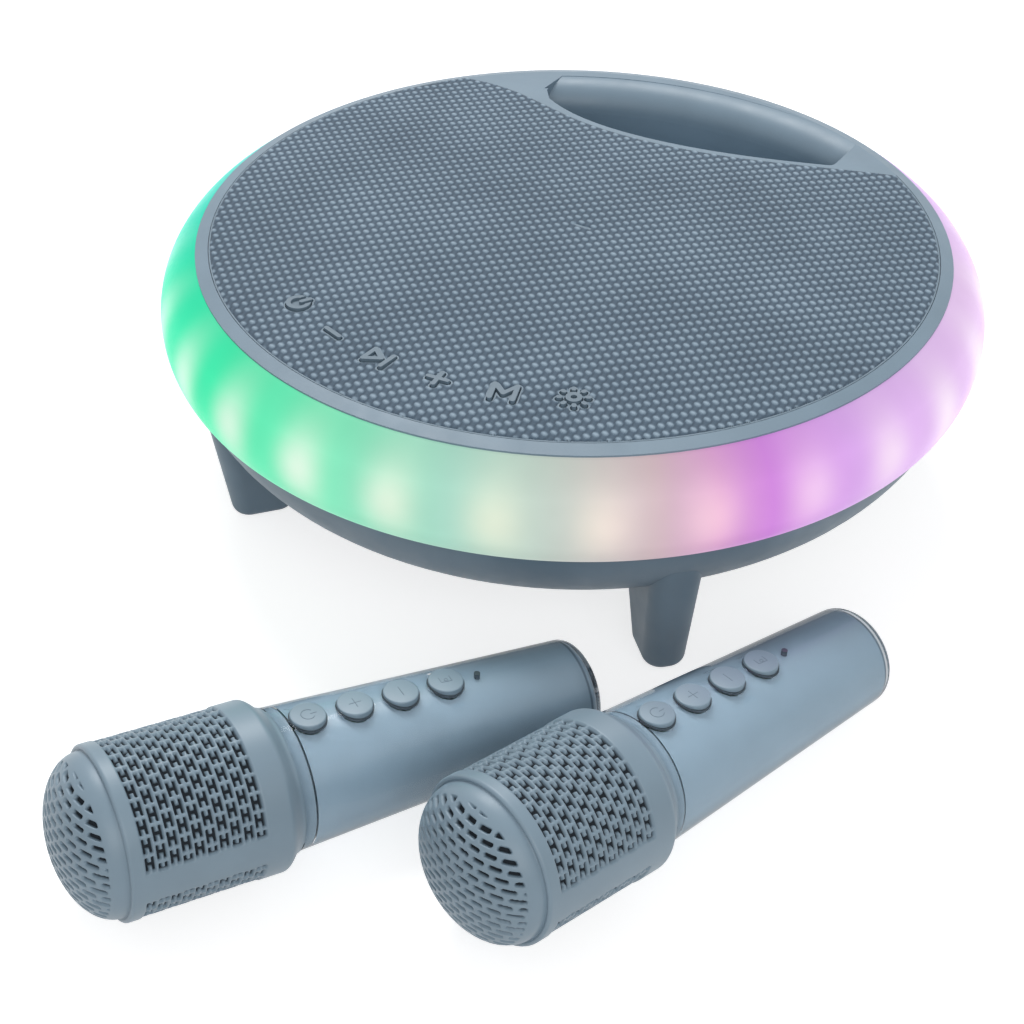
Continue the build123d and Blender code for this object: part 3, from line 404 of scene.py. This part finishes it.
def ring_quads(rows, sides, start=0, closed=False):
    """Quads between neighbouring rings of points, whose first point has the number start."""
    k = np.arange(sides)
    n = (k + 1) % sides
    faces = []
    for row in range(rows if closed else rows - 1):
        a, b = start + row * sides, start + (row + 1) % rows * sides
        faces += np.stack([a + k, b + k, b + n, a + n], -1).tolist()
    return faces


def fan(tip, start, sides, turned=False):
    """Triangles from one point to a ring of points."""
    pairs = [(start + k, start + (k + 1) % sides) for k in range(sides)]
    return [(tip, b, a) if turned else (tip, a, b) for a, b in pairs]


def store(made, name, values):
    made.data.attributes.new(name, "FLOAT", "POINT").data.foreach_set("value", values.astype(np.float32))


def smoothstep(low, high, value):
    t = np.clip((value - low) / (high - low), 0, 1)
    return t * t * (3 - 2 * t)


# ---------------------------------------------------------------- diffuser, a little fuller than its solid
# radius and height in mm of the upper edge, the widest place and the lower edge
RING_TOP = (122.0, 85.35)
RING_WIDEST = (134.6, 65.5)
RING_FOOT = (129.6, 55.05)
RING_THICKNESS = 2.0
RING_SIDES = 360


def diffuser():
    swell, rise = RING_WIDEST[0] - RING_TOP[0], RING_TOP[1] - RING_WIDEST[1]
    curve = (swell**2 + rise**2) / (2 * swell)
    outer = []
    for height in np.linspace(RING_TOP[1], RING_WIDEST[1], 28):
        reach = math.sqrt(curve**2 - (height - RING_WIDEST[1]) ** 2)
        outer.append((RING_WIDEST[0] - curve + reach, height))
    tuck, drop = RING_WIDEST[0] - RING_FOOT[0], RING_WIDEST[1] - RING_FOOT[1]
    for turn in np.linspace(0, math.pi / 2, 18)[1:]:
        outer.append((RING_FOOT[0] + tuck * math.cos(turn), RING_WIDEST[1] - drop * math.sin(turn)))
    inner = [(radius - RING_THICKNESS, height) for radius, height in outer[::-1]]
    profile = np.array(outer + inner)
    angles = np.radians(np.arange(RING_SIDES) * 360.0 / RING_SIDES)
    points = [
        np.stack([radius * np.cos(angles), radius * np.sin(angles), np.full(RING_SIDES, height)], -1)
        for radius, height in profile
    ]
    faces = [face[::-1] for face in ring_quads(len(points), RING_SIDES, closed=True)]
    made = add_mesh("full_diffuser", np.concatenate(points) * MM, faces, looks["light_ring"], "speaker")
    made.data.set_sharp_from_angle(angle=math.radians(40))
    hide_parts("light_ring")


diffuser()

# ---------------------------------------------------------------- woven skin
RECESS_RADIUS = 117.8
BEVEL_TOP = 87.3
SKIN_DOME = 2.5
WARP_WAVE = np.array((0.435, 0.083))  # turns per mm
WEFT_WAVE = np.array((0.045, 0.476))
SAMPLES = 5  # per yarn
YARN_RISE = 0.60
SKIN_LIFT = 0.03
EDGE_SINK = 0.35
EDGE_FADE = (0.05, 0.9)  # from an edge to the full height


def weave():
    skin = nodes["grille_skin"]
    corners = np.array([v.co for v in skin.data.vertices]) / MM
    tree = BVHTree.FromPolygons(
        [tuple(c) for c in corners], [tuple(p.vertices) for p in skin.data.polygons]
    )
    # rim of every opening and of the outer edge: corners of the upright walls at the top
    edge_points = []
    for polygon in skin.data.polygons:
        if abs(polygon.normal.z) < 0.3:
            ring = [corners[i] for i in polygon.vertices]
            for a, b in zip(ring, ring[1:] + ring[:1]):
                steps = max(1, int(np.hypot(*(b - a)[:2]) / 0.4))
                edge_points += [a + (b - a) * k / steps for k in range(steps)]
    near = kdtree.KDTree(len(edge_points))
    for i, p in enumerate(edge_points):
        near.insert((p[0], p[1], 0.0), i)
    near.balance()

    waves = np.array((WARP_WAVE, WEFT_WAVE))
    back = np.linalg.inv(waves)
    reach = int(RECESS_RADIUS * 0.62)
    ticks = np.arange(-reach * SAMPLES, reach * SAMPLES + 1) / SAMPLES
    u, v = np.meshgrid(ticks, ticks)
    plan = np.stack([u, v], -1) @ back.T
    x, y = plan[..., 0], plan[..., 1]
    radius = np.hypot(x, y)
    inside = radius < RECESS_RADIUS - 0.3
    gap = np.full(x.shape, -1.0)
    for i, j in zip(*np.nonzero(inside)):
        hit = tree.ray_cast((x[i, j], y[i, j], 120.0), (0, 0, -1))
        if hit[0] is not None and hit[0].z > 84.5:
            gap[i, j] = near.find((x[i, j], y[i, j], 0.0))[2]
    kept = gap >= 0

    def crown(distance, half):
        return np.sqrt(np.clip(1 - (distance / half) ** 2, 0, 1))

    i, j = np.round(u), np.round(v)
    du, dv = u - i, v - j
    knob = np.cos(np.pi * (v + i))
    warp = 0.46 * crown(du, 0.54) + 0.30 * np.sign(knob) * np.abs(knob) ** 1.5
    weft = 0.34 * crown(dv, 0.52) - 0.18 * np.cos(np.pi * (u + j)) - 0.14
    top = np.maximum(warp, weft)
    top = np.clip((top + 0.05) / 0.81, 0, 1)
    height = SKIN_LIFT + YARN_RISE * top
    sunk = (height + EDGE_SINK) * smoothstep(*EDGE_FADE, gap) - EDGE_SINK
    dome = BEVEL_TOP + SKIN_DOME * (1 - (radius / RECESS_RADIUS) ** 2)
    number = np.full(x.shape, -1)
    number[kept] = np.arange(kept.sum())
    points = np.stack([x, y, dome + sunk], -1)[kept] * MM
    a, b, c, d = number[:-1, :-1], number[:-1, 1:], number[1:, 1:], number[1:, :-1]
    whole = (a >= 0) & (b >= 0) & (c >= 0) & (d >= 0)
    faces = np.stack([a[whole], b[whole], c[whole], d[whole]], -1)
    made = add_mesh("woven_skin", points, faces, woven_material(), "speaker")
    store(made, "crown", top[kept])
    return made


weave()

# ---------------------------------------------------------------- microphones
MIC_PLACES = {"mic_left": (0.35, -245.65, 60.45), "mic_right": (90.96, -201.14, 72.53)}
HEAD_RADIUS = 24.0
FACE_RADIUS = 22.4
FACE_DOME = 12.9
HEAD_LENGTH = 46.0
COLLAR_RADIUS = 20.45
SLEEVE_START = 49.7
SLEEVE_END = 145.8
TAIL_ROUNDING = 4.0
GLASS_INSET = 1.75
TAIL_LINE = 141.3  # of the painted shade line where the barrel ends
TAIL_LINE_HALF = 0.3
NECK_END = 54.0
TAIL_CONTACT = 141.8
SLEEVE_FRONT = 19.9
SLEEVE_TAPER = (19.9 - 15.2) / (145.8 - 54.0)
KEY_STATIONS = [58.8 + 13.95 * i for i in range(4)]
KEY_RADIUS = 5.0
KEY_GAP = (5.08, 5.28)  # inner and outer radius of the painted shade line round a key
KEY_BORE = 5.2
KEY_SIDES = 72
KEY_PROUD = 0.8
KEY_EDGE = 0.45
KEY_DEPTH = 1.3  # of its underside below the sleeve
AROUND = 480  # points round a head
SLEEVE_SIDES = 240


def sleeve_radius(station):
    return SLEEVE_FRONT - SLEEVE_TAPER * (station - NECK_END)


MIC_TILT = math.atan((HEAD_RADIUS - sleeve_radius(TAIL_CONTACT)) / (TAIL_CONTACT - HEAD_LENGTH))


def mic_axes(place):
    """Origin on the ridge and the directions towards the tail, up and to the side."""
    x, y, heading = place
    a = math.radians(heading)
    along = Vector((math.cos(a) * math.cos(MIC_TILT), math.sin(a) * math.cos(MIC_TILT), -math.sin(MIC_TILT)))
    side = Vector((math.sin(a), -math.cos(a), 0))
    ridge = HEAD_RADIUS * math.cos(MIC_TILT) + HEAD_LENGTH * math.sin(MIC_TILT)
    return Vector((x, y, ridge)), along, side.cross(along), side


def to_world(axes, local):
    """Points in mm given as (station, up, side), in metres in the CAD's frame."""
    origin, along, upward, side = (np.array(a) for a in axes)
    return (origin + local[:, :1] * along + local[:, 1:2] * upward + local[:, 2:] * side) * MM


def bar_distance(x, y, half_x, half_y, corner):
    """Signed distance to a rounded bar."""
    qx = np.abs(x) - half_x + corner
    qy = np.abs(y) - half_y + corner
    return np.hypot(np.maximum(qx, 0), np.maximum(qy, 0)) + np.minimum(np.maximum(qx, qy), 0) - corner


COLUMN_FIRST = 5.7
COLUMN_PITCH = 3.35
COLUMN_COUNT = 10
ROW_ANGLE = 12.0
WINDOW_HALF = 78.0  # degrees each side of the window's middle
SLOT_DEPTH = 1.55
TRAY_DEPTH = 0.3  # of the strips between the slots below the smooth cover
WINDOW_MARGIN = 1.7


def side_cut(station, angle):
    """Depth of the side windows at a station and an angle from the top, and the share that is slot."""
    folded = (angle + 180) % 180
    across = np.minimum(folded, 180 - folded)
    column = np.clip(np.round((station - COLUMN_FIRST) / COLUMN_PITCH), 0, COLUMN_COUNT - 1)
    x = station - COLUMN_FIRST - column * COLUMN_PITCH
    offset = (column % 2) * ROW_ANGLE / 2
    row = np.round((angle - offset) / ROW_ANGLE)
    y = np.radians(angle - offset - row * ROW_ANGLE) * HEAD_RADIUS
    bars = bar_distance(np.abs(x) - 0.86, y, 0.42, 2.06, 0.4)
    middle = bar_distance(x, y, 0.9, 0.6, 0.3)
    hole = np.minimum(bars, middle)
    end = (WINDOW_HALF - across) * math.radians(1) * HEAD_RADIUS
    last = COLUMN_FIRST + (COLUMN_COUNT - 1) * COLUMN_PITCH
    span = np.minimum(station - COLUMN_FIRST, last - station) + WINDOW_MARGIN
    window = np.minimum(end, span)
    slot = smoothstep(0.16, -0.16, hole) * smoothstep(-0.1, 0.25, window)
    tray = TRAY_DEPTH * smoothstep(-0.1, 0.5, window)
    return slot * SLOT_DEPTH + tray * (1 - slot), slot


FACE_ROW = 2.35
FACE_COLUMN = 4.7
FACE_SLOT_REACH = 20.9
SHOULDER_START = 44.2
SHOULDER_LENGTH = 5.2
# outline of the head in mm, from front to back: (station, radius), or with the share of painted shade on the
# neck under the sleeve
FACE_GROOVE = ((0.35, 22.45), (0.45, 22.6), (0.25, 22.8))
# the neck under the sleeve carries painted shade: half, then full at its end
COLLAR = (
    (SLEEVE_START - 0.1, COLLAR_RADIUS - 0.2, 0.0),
    (SLEEVE_START, 19.4, 0.0),
    (SLEEVE_START, 18.7, 0.5),
    (53.2, 18.5, 0.5),
    (53.5, 18.5, 1.0),
    (53.5, 17.0, 1.0),
)
LINING = ((46.0, 20.0), (43.0, 22.2), (1.8, 22.2), (1.8, 20.6), (-1.0, 19.0), (-7.9, 12.0), (-11.4, 0.5))
RIDGE_START = 0.1
RIDGE_ROUNDING = 1.0
SIDE_START = 1.4
RING_STEP = 0.3
SIDE_RINGS = 142


def face_cut(upward, sideways):
    """Depth of the front slots at a place on the face, and the share that is slot."""
    row = np.round(upward / FACE_ROW)
    y = upward - row * FACE_ROW
    offset = (row % 2) * FACE_COLUMN / 2
    x = sideways - offset - np.round((sideways - offset) / FACE_COLUMN) * FACE_COLUMN
    hole = bar_distance(x, y, 1.66, 0.52, 0.46)
    rim = np.hypot(upward, sideways) - FACE_SLOT_REACH
    slot = smoothstep(0.15, -0.15, hole) * smoothstep(0.15, -0.25, rim)
    return slot * SLOT_DEPTH, slot


def head_rings():
    """Rings of the head as (station, radius, kind, shade), from the middle of the face to the lining."""
    rings = []
    for turn in np.concatenate([np.arange(0.008, 1.5, 0.0135), [1.52, 1.55]]):
        rings.append((-FACE_DOME * math.cos(turn), FACE_RADIUS * math.sin(turn), "face", 0.0))
    rings += [(station, radius, "plain", 0.0) for station, radius in FACE_GROOVE]
    for step in np.linspace(0.1, 1, 6):
        back = RIDGE_ROUNDING * (1 - math.cos(step * math.pi / 2))
        fall = RIDGE_ROUNDING * (1 - math.sin(step * math.pi / 2))
        rings.append((RIDGE_START + back, HEAD_RADIUS - fall, "plain", 0.0))
    rings += [(SIDE_START + k * RING_STEP, HEAD_RADIUS, "side", 0.0) for k in range(SIDE_RINGS)]
    for step in np.linspace(0, 1, 14):
        fall = (HEAD_RADIUS - COLLAR_RADIUS) * step * step * (3 - 2 * step)
        rings.append((SHOULDER_START + SHOULDER_LENGTH * step, HEAD_RADIUS - fall, "plain", 0.0))
    rings += [(station, radius, "plain", shade) for station, radius, shade in COLLAR]
    rings += [(station, radius, "plain", 0.0) for station, radius in LINING]
    return rings


def slotted_head(name, axes):
    """Head with its face and windows cut by slots, closed inside by a lining."""
    rings = head_rings()
    angles = np.arange(AROUND) * 360.0 / AROUND
    cos, sin = np.cos(np.radians(angles)), np.sin(np.radians(angles))
    local, slot_and_neck_shade = [], []
    for station, radius, kind, shade in rings:
        s = np.full(AROUND, station)
        r = np.full(AROUND, radius)
        slot = np.full(AROUND, shade)
        if kind == "face":
            cut, slot = face_cut(r * cos, r * sin)
            inward = np.array((-station / FACE_DOME**2, radius / FACE_RADIUS**2))
            inward /= np.hypot(*inward)
            s, r = s + cut * inward[0], r - cut * inward[1]
        elif kind == "side":
            cut, slot = side_cut(s, angles)
            r = r - cut
        local.append(np.stack([s, r * cos, r * sin], -1))
        slot_and_neck_shade.append(slot)
    front = (rings[0][0], 0.0, 0.0)
    inner = (rings[-1][0] - 0.02, 0.0, 0.0)
    local = np.concatenate(local + [np.array([front, inner])])
    slot_and_neck_shade = np.concatenate(slot_and_neck_shade + [np.zeros(2)])
    tips = len(rings) * AROUND
    faces = ring_quads(len(rings), AROUND)
    faces += fan(tips, 0, AROUND) + fan(tips + 1, tips - AROUND, AROUND, turned=True)
    made = add_mesh(name + "_slotted_head", to_world(axes, local), faces, head_look, name)
    # the dark foam in the slots, and the painted shade on the neck
    store(made, "slot_and_neck_shade", slot_and_neck_shade)
    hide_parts(name + "_head_cover")
    return made


def revolved(name, axes, rings, look, body):
    """Closed piece turned about the microphone's axis; the first and last rings lie on the axis."""
    angles = np.radians(np.arange(SLEEVE_SIDES) * 360.0 / SLEEVE_SIDES)
    local = [np.array([(rings[0][0], 0.0, 0.0), (rings[-1][0], 0.0, 0.0)])]
    for station, radius in rings[1:-1]:
        stations = np.full(SLEEVE_SIDES, station)
        local.append(np.stack([stations, radius * np.cos(angles), radius * np.sin(angles)], -1))
    rows = len(rings) - 2
    faces = fan(0, 2, SLEEVE_SIDES) + ring_quads(rows, SLEEVE_SIDES, 2)
    faces += fan(1, 2 + (rows - 1) * SLEEVE_SIDES, SLEEVE_SIDES, turned=True)
    return add_mesh(name, to_world(axes, np.concatenate(local)), faces, look, body)


def sleeve(name, axes):
    """Clear sleeve moulded round the barrel, with its rounded tail."""
    centre = SLEEVE_END - TAIL_ROUNDING
    corner = sleeve_radius(centre) - TAIL_ROUNDING
    outer = [(SLEEVE_START + 0.3, sleeve_radius(SLEEVE_START))]
    outer += [(s, sleeve_radius(s)) for s in np.linspace(SLEEVE_START + 0.8, centre - 1.4, 40)]
    outer += [(s, sleeve_radius(s)) for s in centre - np.arange(5)[::-1] * 0.25]
    for turn in np.linspace(0, math.pi / 2, 10)[1:]:
        outer.append((centre + TAIL_ROUNDING * math.sin(turn), corner + TAIL_ROUNDING * math.cos(turn)))
    stations = np.linspace(centre - 0.8, SLEEVE_START + 0.1, 24)
    inner = [(SLEEVE_END - GLASS_INSET, sleeve_radius(SLEEVE_END) - GLASS_INSET - 3.1)]
    inner += [(s, sleeve_radius(s) - GLASS_INSET) for s in stations]
    # from the outer tail's middle over the sleeve's mouth to the inner tail's middle
    rings = [(SLEEVE_END, 0.0)] + outer[::-1] + inner[::-1] + [(SLEEVE_END - GLASS_INSET, 0.0)]
    made = revolved(name + "_moulded_sleeve", axes, rings, mic_looks["clear_sleeve"], name)
    made.data.set_sharp_from_angle(angle=math.radians(40))
    station = np.array([ring[0] for ring in rings])
    # painted shade: a dark line where the barrel ends, and a darker tail end
    dark = 0.8 * (abs(station - TAIL_LINE) < TAIL_LINE_HALF) + 0.5 * (station > SLEEVE_END - 0.6)
    store(made, "shade", np.concatenate([dark[[0, -1]], np.repeat(dark[1:-1], SLEEVE_SIDES)]))
    bore(made, axes)
    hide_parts(name + "_clear_sleeve")
    return made


AROUND_KEY = np.arange(KEY_SIDES) * 2 * math.pi / KEY_SIDES


def level_ring(station, reach, height):
    """Ring about a key's axis at a height over the sleeve's surface under the key's middle."""
    level = np.full(KEY_SIDES, sleeve_radius(station) + height)
    return np.stack([station + reach * np.cos(AROUND_KEY), level, reach * np.sin(AROUND_KEY)], -1)


def seated_ring(station, reach, lift):
    """Ring about a key's axis that follows the curved sleeve."""
    along, side = reach * np.cos(AROUND_KEY), reach * np.sin(AROUND_KEY)
    surface = np.sqrt(sleeve_radius(station + along) ** 2 - side**2)
    return np.stack([station + along, surface + lift, side], -1)


def bore(made, axes):
    """Cut the key holes through a sleeve."""
    points, faces = [], []
    for station in KEY_STATIONS:
        start = KEY_SIDES * len(points)
        points += [level_ring(station, KEY_BORE, -9.0), level_ring(station, KEY_BORE, 4.0)]
        faces += [face[::-1] for face in ring_quads(2, KEY_SIDES, start)]
        faces += [list(range(start, start + KEY_SIDES))]
        faces += [list(range(start + 2 * KEY_SIDES - 1, start + KEY_SIDES - 1, -1))]
    places = to_world(axes, np.concatenate(points))
    tool = add_mesh("bore_tool", places, faces, gap_shade_look, "speaker", smooth=False)
    for data in (tool.data, made.data):
        shape = bmesh.new()
        shape.from_mesh(data)
        bmesh.ops.recalc_face_normals(shape, faces=shape.faces)
        shape.to_mesh(data)
        shape.free()
    cut = made.modifiers.new("bores", "BOOLEAN")
    cut.object = tool
    cut.operation = "DIFFERENCE"
    cut.solver = "EXACT"
    ready = made.evaluated_get(bpy.context.evaluated_depsgraph_get())
    bored = bpy.data.meshes.new_from_object(ready)
    made.modifiers.clear()
    made.data = bored
    bpy.data.objects.remove(tool)


def key_gaps(name, axes):
    """The dark line of painted shade round every key, in the gap on the sleeve."""
    points, faces = [], []
    for station in KEY_STATIONS:
        faces += ring_quads(4, KEY_SIDES, KEY_SIDES * len(points), closed=True)
        near, far = KEY_GAP
        for reach, lift in ((near, 0.03), (far, 0.03), (far, -1.0), (near, -1.0)):
            points.append(seated_ring(station, reach, lift))
    made = add_mesh(name + "_key_gaps", to_world(axes, np.concatenate(points)), faces, gap_shade_look, name)
    made.data.set_sharp_from_angle(angle=math.radians(40))
    return made


def low_key(name, number, axes, station):
    """Flat-topped key that stands a little over the sleeve."""
    rows = [level_ring(station, 0.02, KEY_PROUD), level_ring(station, KEY_RADIUS - KEY_EDGE, KEY_PROUD)]
    for turn in np.linspace(0, math.pi / 2, 5)[1:]:
        reach = KEY_RADIUS - KEY_EDGE + KEY_EDGE * math.sin(turn)
        rows.append(level_ring(station, reach, KEY_PROUD - KEY_EDGE * (1 - math.cos(turn))))
    rows += [level_ring(station, KEY_RADIUS, -KEY_DEPTH), level_ring(station, 0.02, -KEY_DEPTH)]
    body = f"{name}_key_{number}"
    points = to_world(axes, np.concatenate(rows))
    faces = ring_quads(len(rows), KEY_SIDES)
    made = add_mesh(f"{name}_low_key_{number}", points, faces, mic_key_look, body)
    made.data.set_sharp_from_angle(angle=math.radians(40))
    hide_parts(body)
    return made


# ---------------------------------------------------------------- icons on the microphone keys
def arc(radius, start, end, steps=14):
    return [
        (radius * math.cos(math.radians(start + (end - start) * i / steps)),
         radius * math.sin(math.radians(start + (end - start) * i / steps)))
        for i in range(steps + 1)
    ]


MIC_ICONS = [  # lines in mm on the key's top: first towards the tail, then to the side
    [arc(1.9, 40, 320), [(0.7, 0), (2.5, 0)]],
    [[(-1.8, 0), (1.8, 0)], [(0, -1.8), (0, 1.8)]],
    [[(0, -1.8), (0, 1.8)]],
    [[(-1.6, -1.5), (-1.6, 0.6)], [(-1.6, 0.6), (1.5, 0.9)], [(1.5, 0.9), (1.5, -1.2)], arc(0.5, 0, 360, 8)],
]


def key_icon(name, number, axes, station):
    top = sleeve_radius(station) + KEY_PROUD
    data = bpy.data.curves.new(f"{name}_icon_{number}", "CURVE")
    data.dimensions = "3D"
    data.bevel_depth = 0.11 * MM
    data.bevel_resolution = 2
    data.use_fill_caps = True
    for line in MIC_ICONS[number - 1]:
        places = to_world(axes, np.array([(station + a, top, b) for a, b in line]))
        spline = data.splines.new("POLY")
        spline.points.add(len(line) - 1)
        for point, place in zip(spline.points, places):
            point.co = (*place, 1.0)
    data.materials.append(icon_look)
    made = bpy.data.objects.new(f"{name}_icon_{number}", data)
    scene.collection.objects.link(made)
    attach(made, f"{name}_key_{number}")
    return made


for mic, place in MIC_PLACES.items():
    axes = mic_axes(place)
    slotted_head(mic, axes)
    sleeve(mic, axes)
    key_gaps(mic, axes)
    for number, station in enumerate(KEY_STATIONS, 1):
        low_key(mic, number, axes, station)
        key_icon(mic, number, axes, station)

# ---------------------------------------------------------------- floor, world and lamps
FLOOR_HALF = 4.0
floor_data = bpy.data.meshes.new("floor")
floor_corners = [(x * FLOOR_HALF, y * FLOOR_HALF, 0) for x, y in ((-1, -1), (1, -1), (1, 1), (-1, 1))]
floor_data.from_pydata(floor_corners, [], [(0, 1, 2, 3)])
floor = bpy.data.objects.new("floor", floor_data)
floor.location.z = -0.0002
scene.collection.objects.link(floor)


def seen_rays(m):
    path = m.node("ShaderNodeLightPath")
    first = m.math("MAXIMUM", path.outputs["Is Camera Ray"], path.outputs["Is Glossy Ray"])
    return m.math("MAXIMUM", first, path.outputs["Is Transmission Ray"])


def floor_material():
    m = Tree("floor_white")
    plain = m.node("ShaderNodeBsdfDiffuse")
    plain.inputs["Color"].default_value = (0.62, 0.62, 0.62, 1.0)
    seen = m.node("ShaderNodeEmission")
    seen.inputs["Strength"].default_value = 0.72
    lit = m.node("ShaderNodeAddShader")
    m.link(plain.outputs[0], lit.inputs[0])
    m.link(seen.outputs[0], lit.inputs[1])
    choose = m.node("ShaderNodeMixShader")
    m.link(seen_rays(m), choose.inputs[0])
    m.link(plain.outputs[0], choose.inputs[1])
    m.link(lit.outputs[0], choose.inputs[2])
    return m.done(choose)


floor_data.materials.append(floor_material())

world = bpy.data.worlds.new("studio")
scene.world = world
world.use_nodes = True
tree = world.node_tree
tree.nodes.clear()
path = tree.nodes.new("ShaderNodeLightPath")
seen = tree.nodes.new("ShaderNodeMath")
seen.operation = "MAXIMUM"
tree.links.new(path.outputs["Is Camera Ray"], seen.inputs[0])
glossy = tree.nodes.new("ShaderNodeMath")
glossy.operation = "MAXIMUM"
tree.links.new(path.outputs["Is Glossy Ray"], glossy.inputs[0])
tree.links.new(path.outputs["Is Transmission Ray"], glossy.inputs[1])
tree.links.new(glossy.outputs[0], seen.inputs[1])
ambient = tree.nodes.new("ShaderNodeBackground")
ambient.inputs["Strength"].default_value = 0.42
white = tree.nodes.new("ShaderNodeBackground")
white.inputs["Color"].default_value = (1, 1, 1, 1)
white.inputs["Strength"].default_value = 1.0
ambient.inputs["Color"].default_value = (1, 1, 1, 1)
choice = tree.nodes.new("ShaderNodeMixShader")
tree.links.new(seen.outputs[0], choice.inputs[0])
tree.links.new(ambient.outputs[0], choice.inputs[1])
tree.links.new(white.outputs[0], choice.inputs[2])
out = tree.nodes.new("ShaderNodeOutputWorld")
tree.links.new(choice.outputs[0], out.inputs[0])


def lamp(name, place, target, size, power):
    data = bpy.data.lights.new(name, "AREA")
    data.shape = "RECTANGLE"
    data.size, data.size_y = size
    data.energy = power
    made = bpy.data.objects.new(name, data)
    made.location = place
    made.rotation_euler = (Vector(target) - Vector(place)).to_track_quat("-Z", "Y").to_euler()
    scene.collection.objects.link(made)
    return made


lamp("key_lamp", (-0.5, 0.5, 1.3), (0.03, -0.08, 0.03), (0.9, 0.6), 13.0)
lamp("fill_lamp", (0.9, -1.0, 0.9), (0.03, -0.12, 0.03), (1.2, 0.8), 7.0)
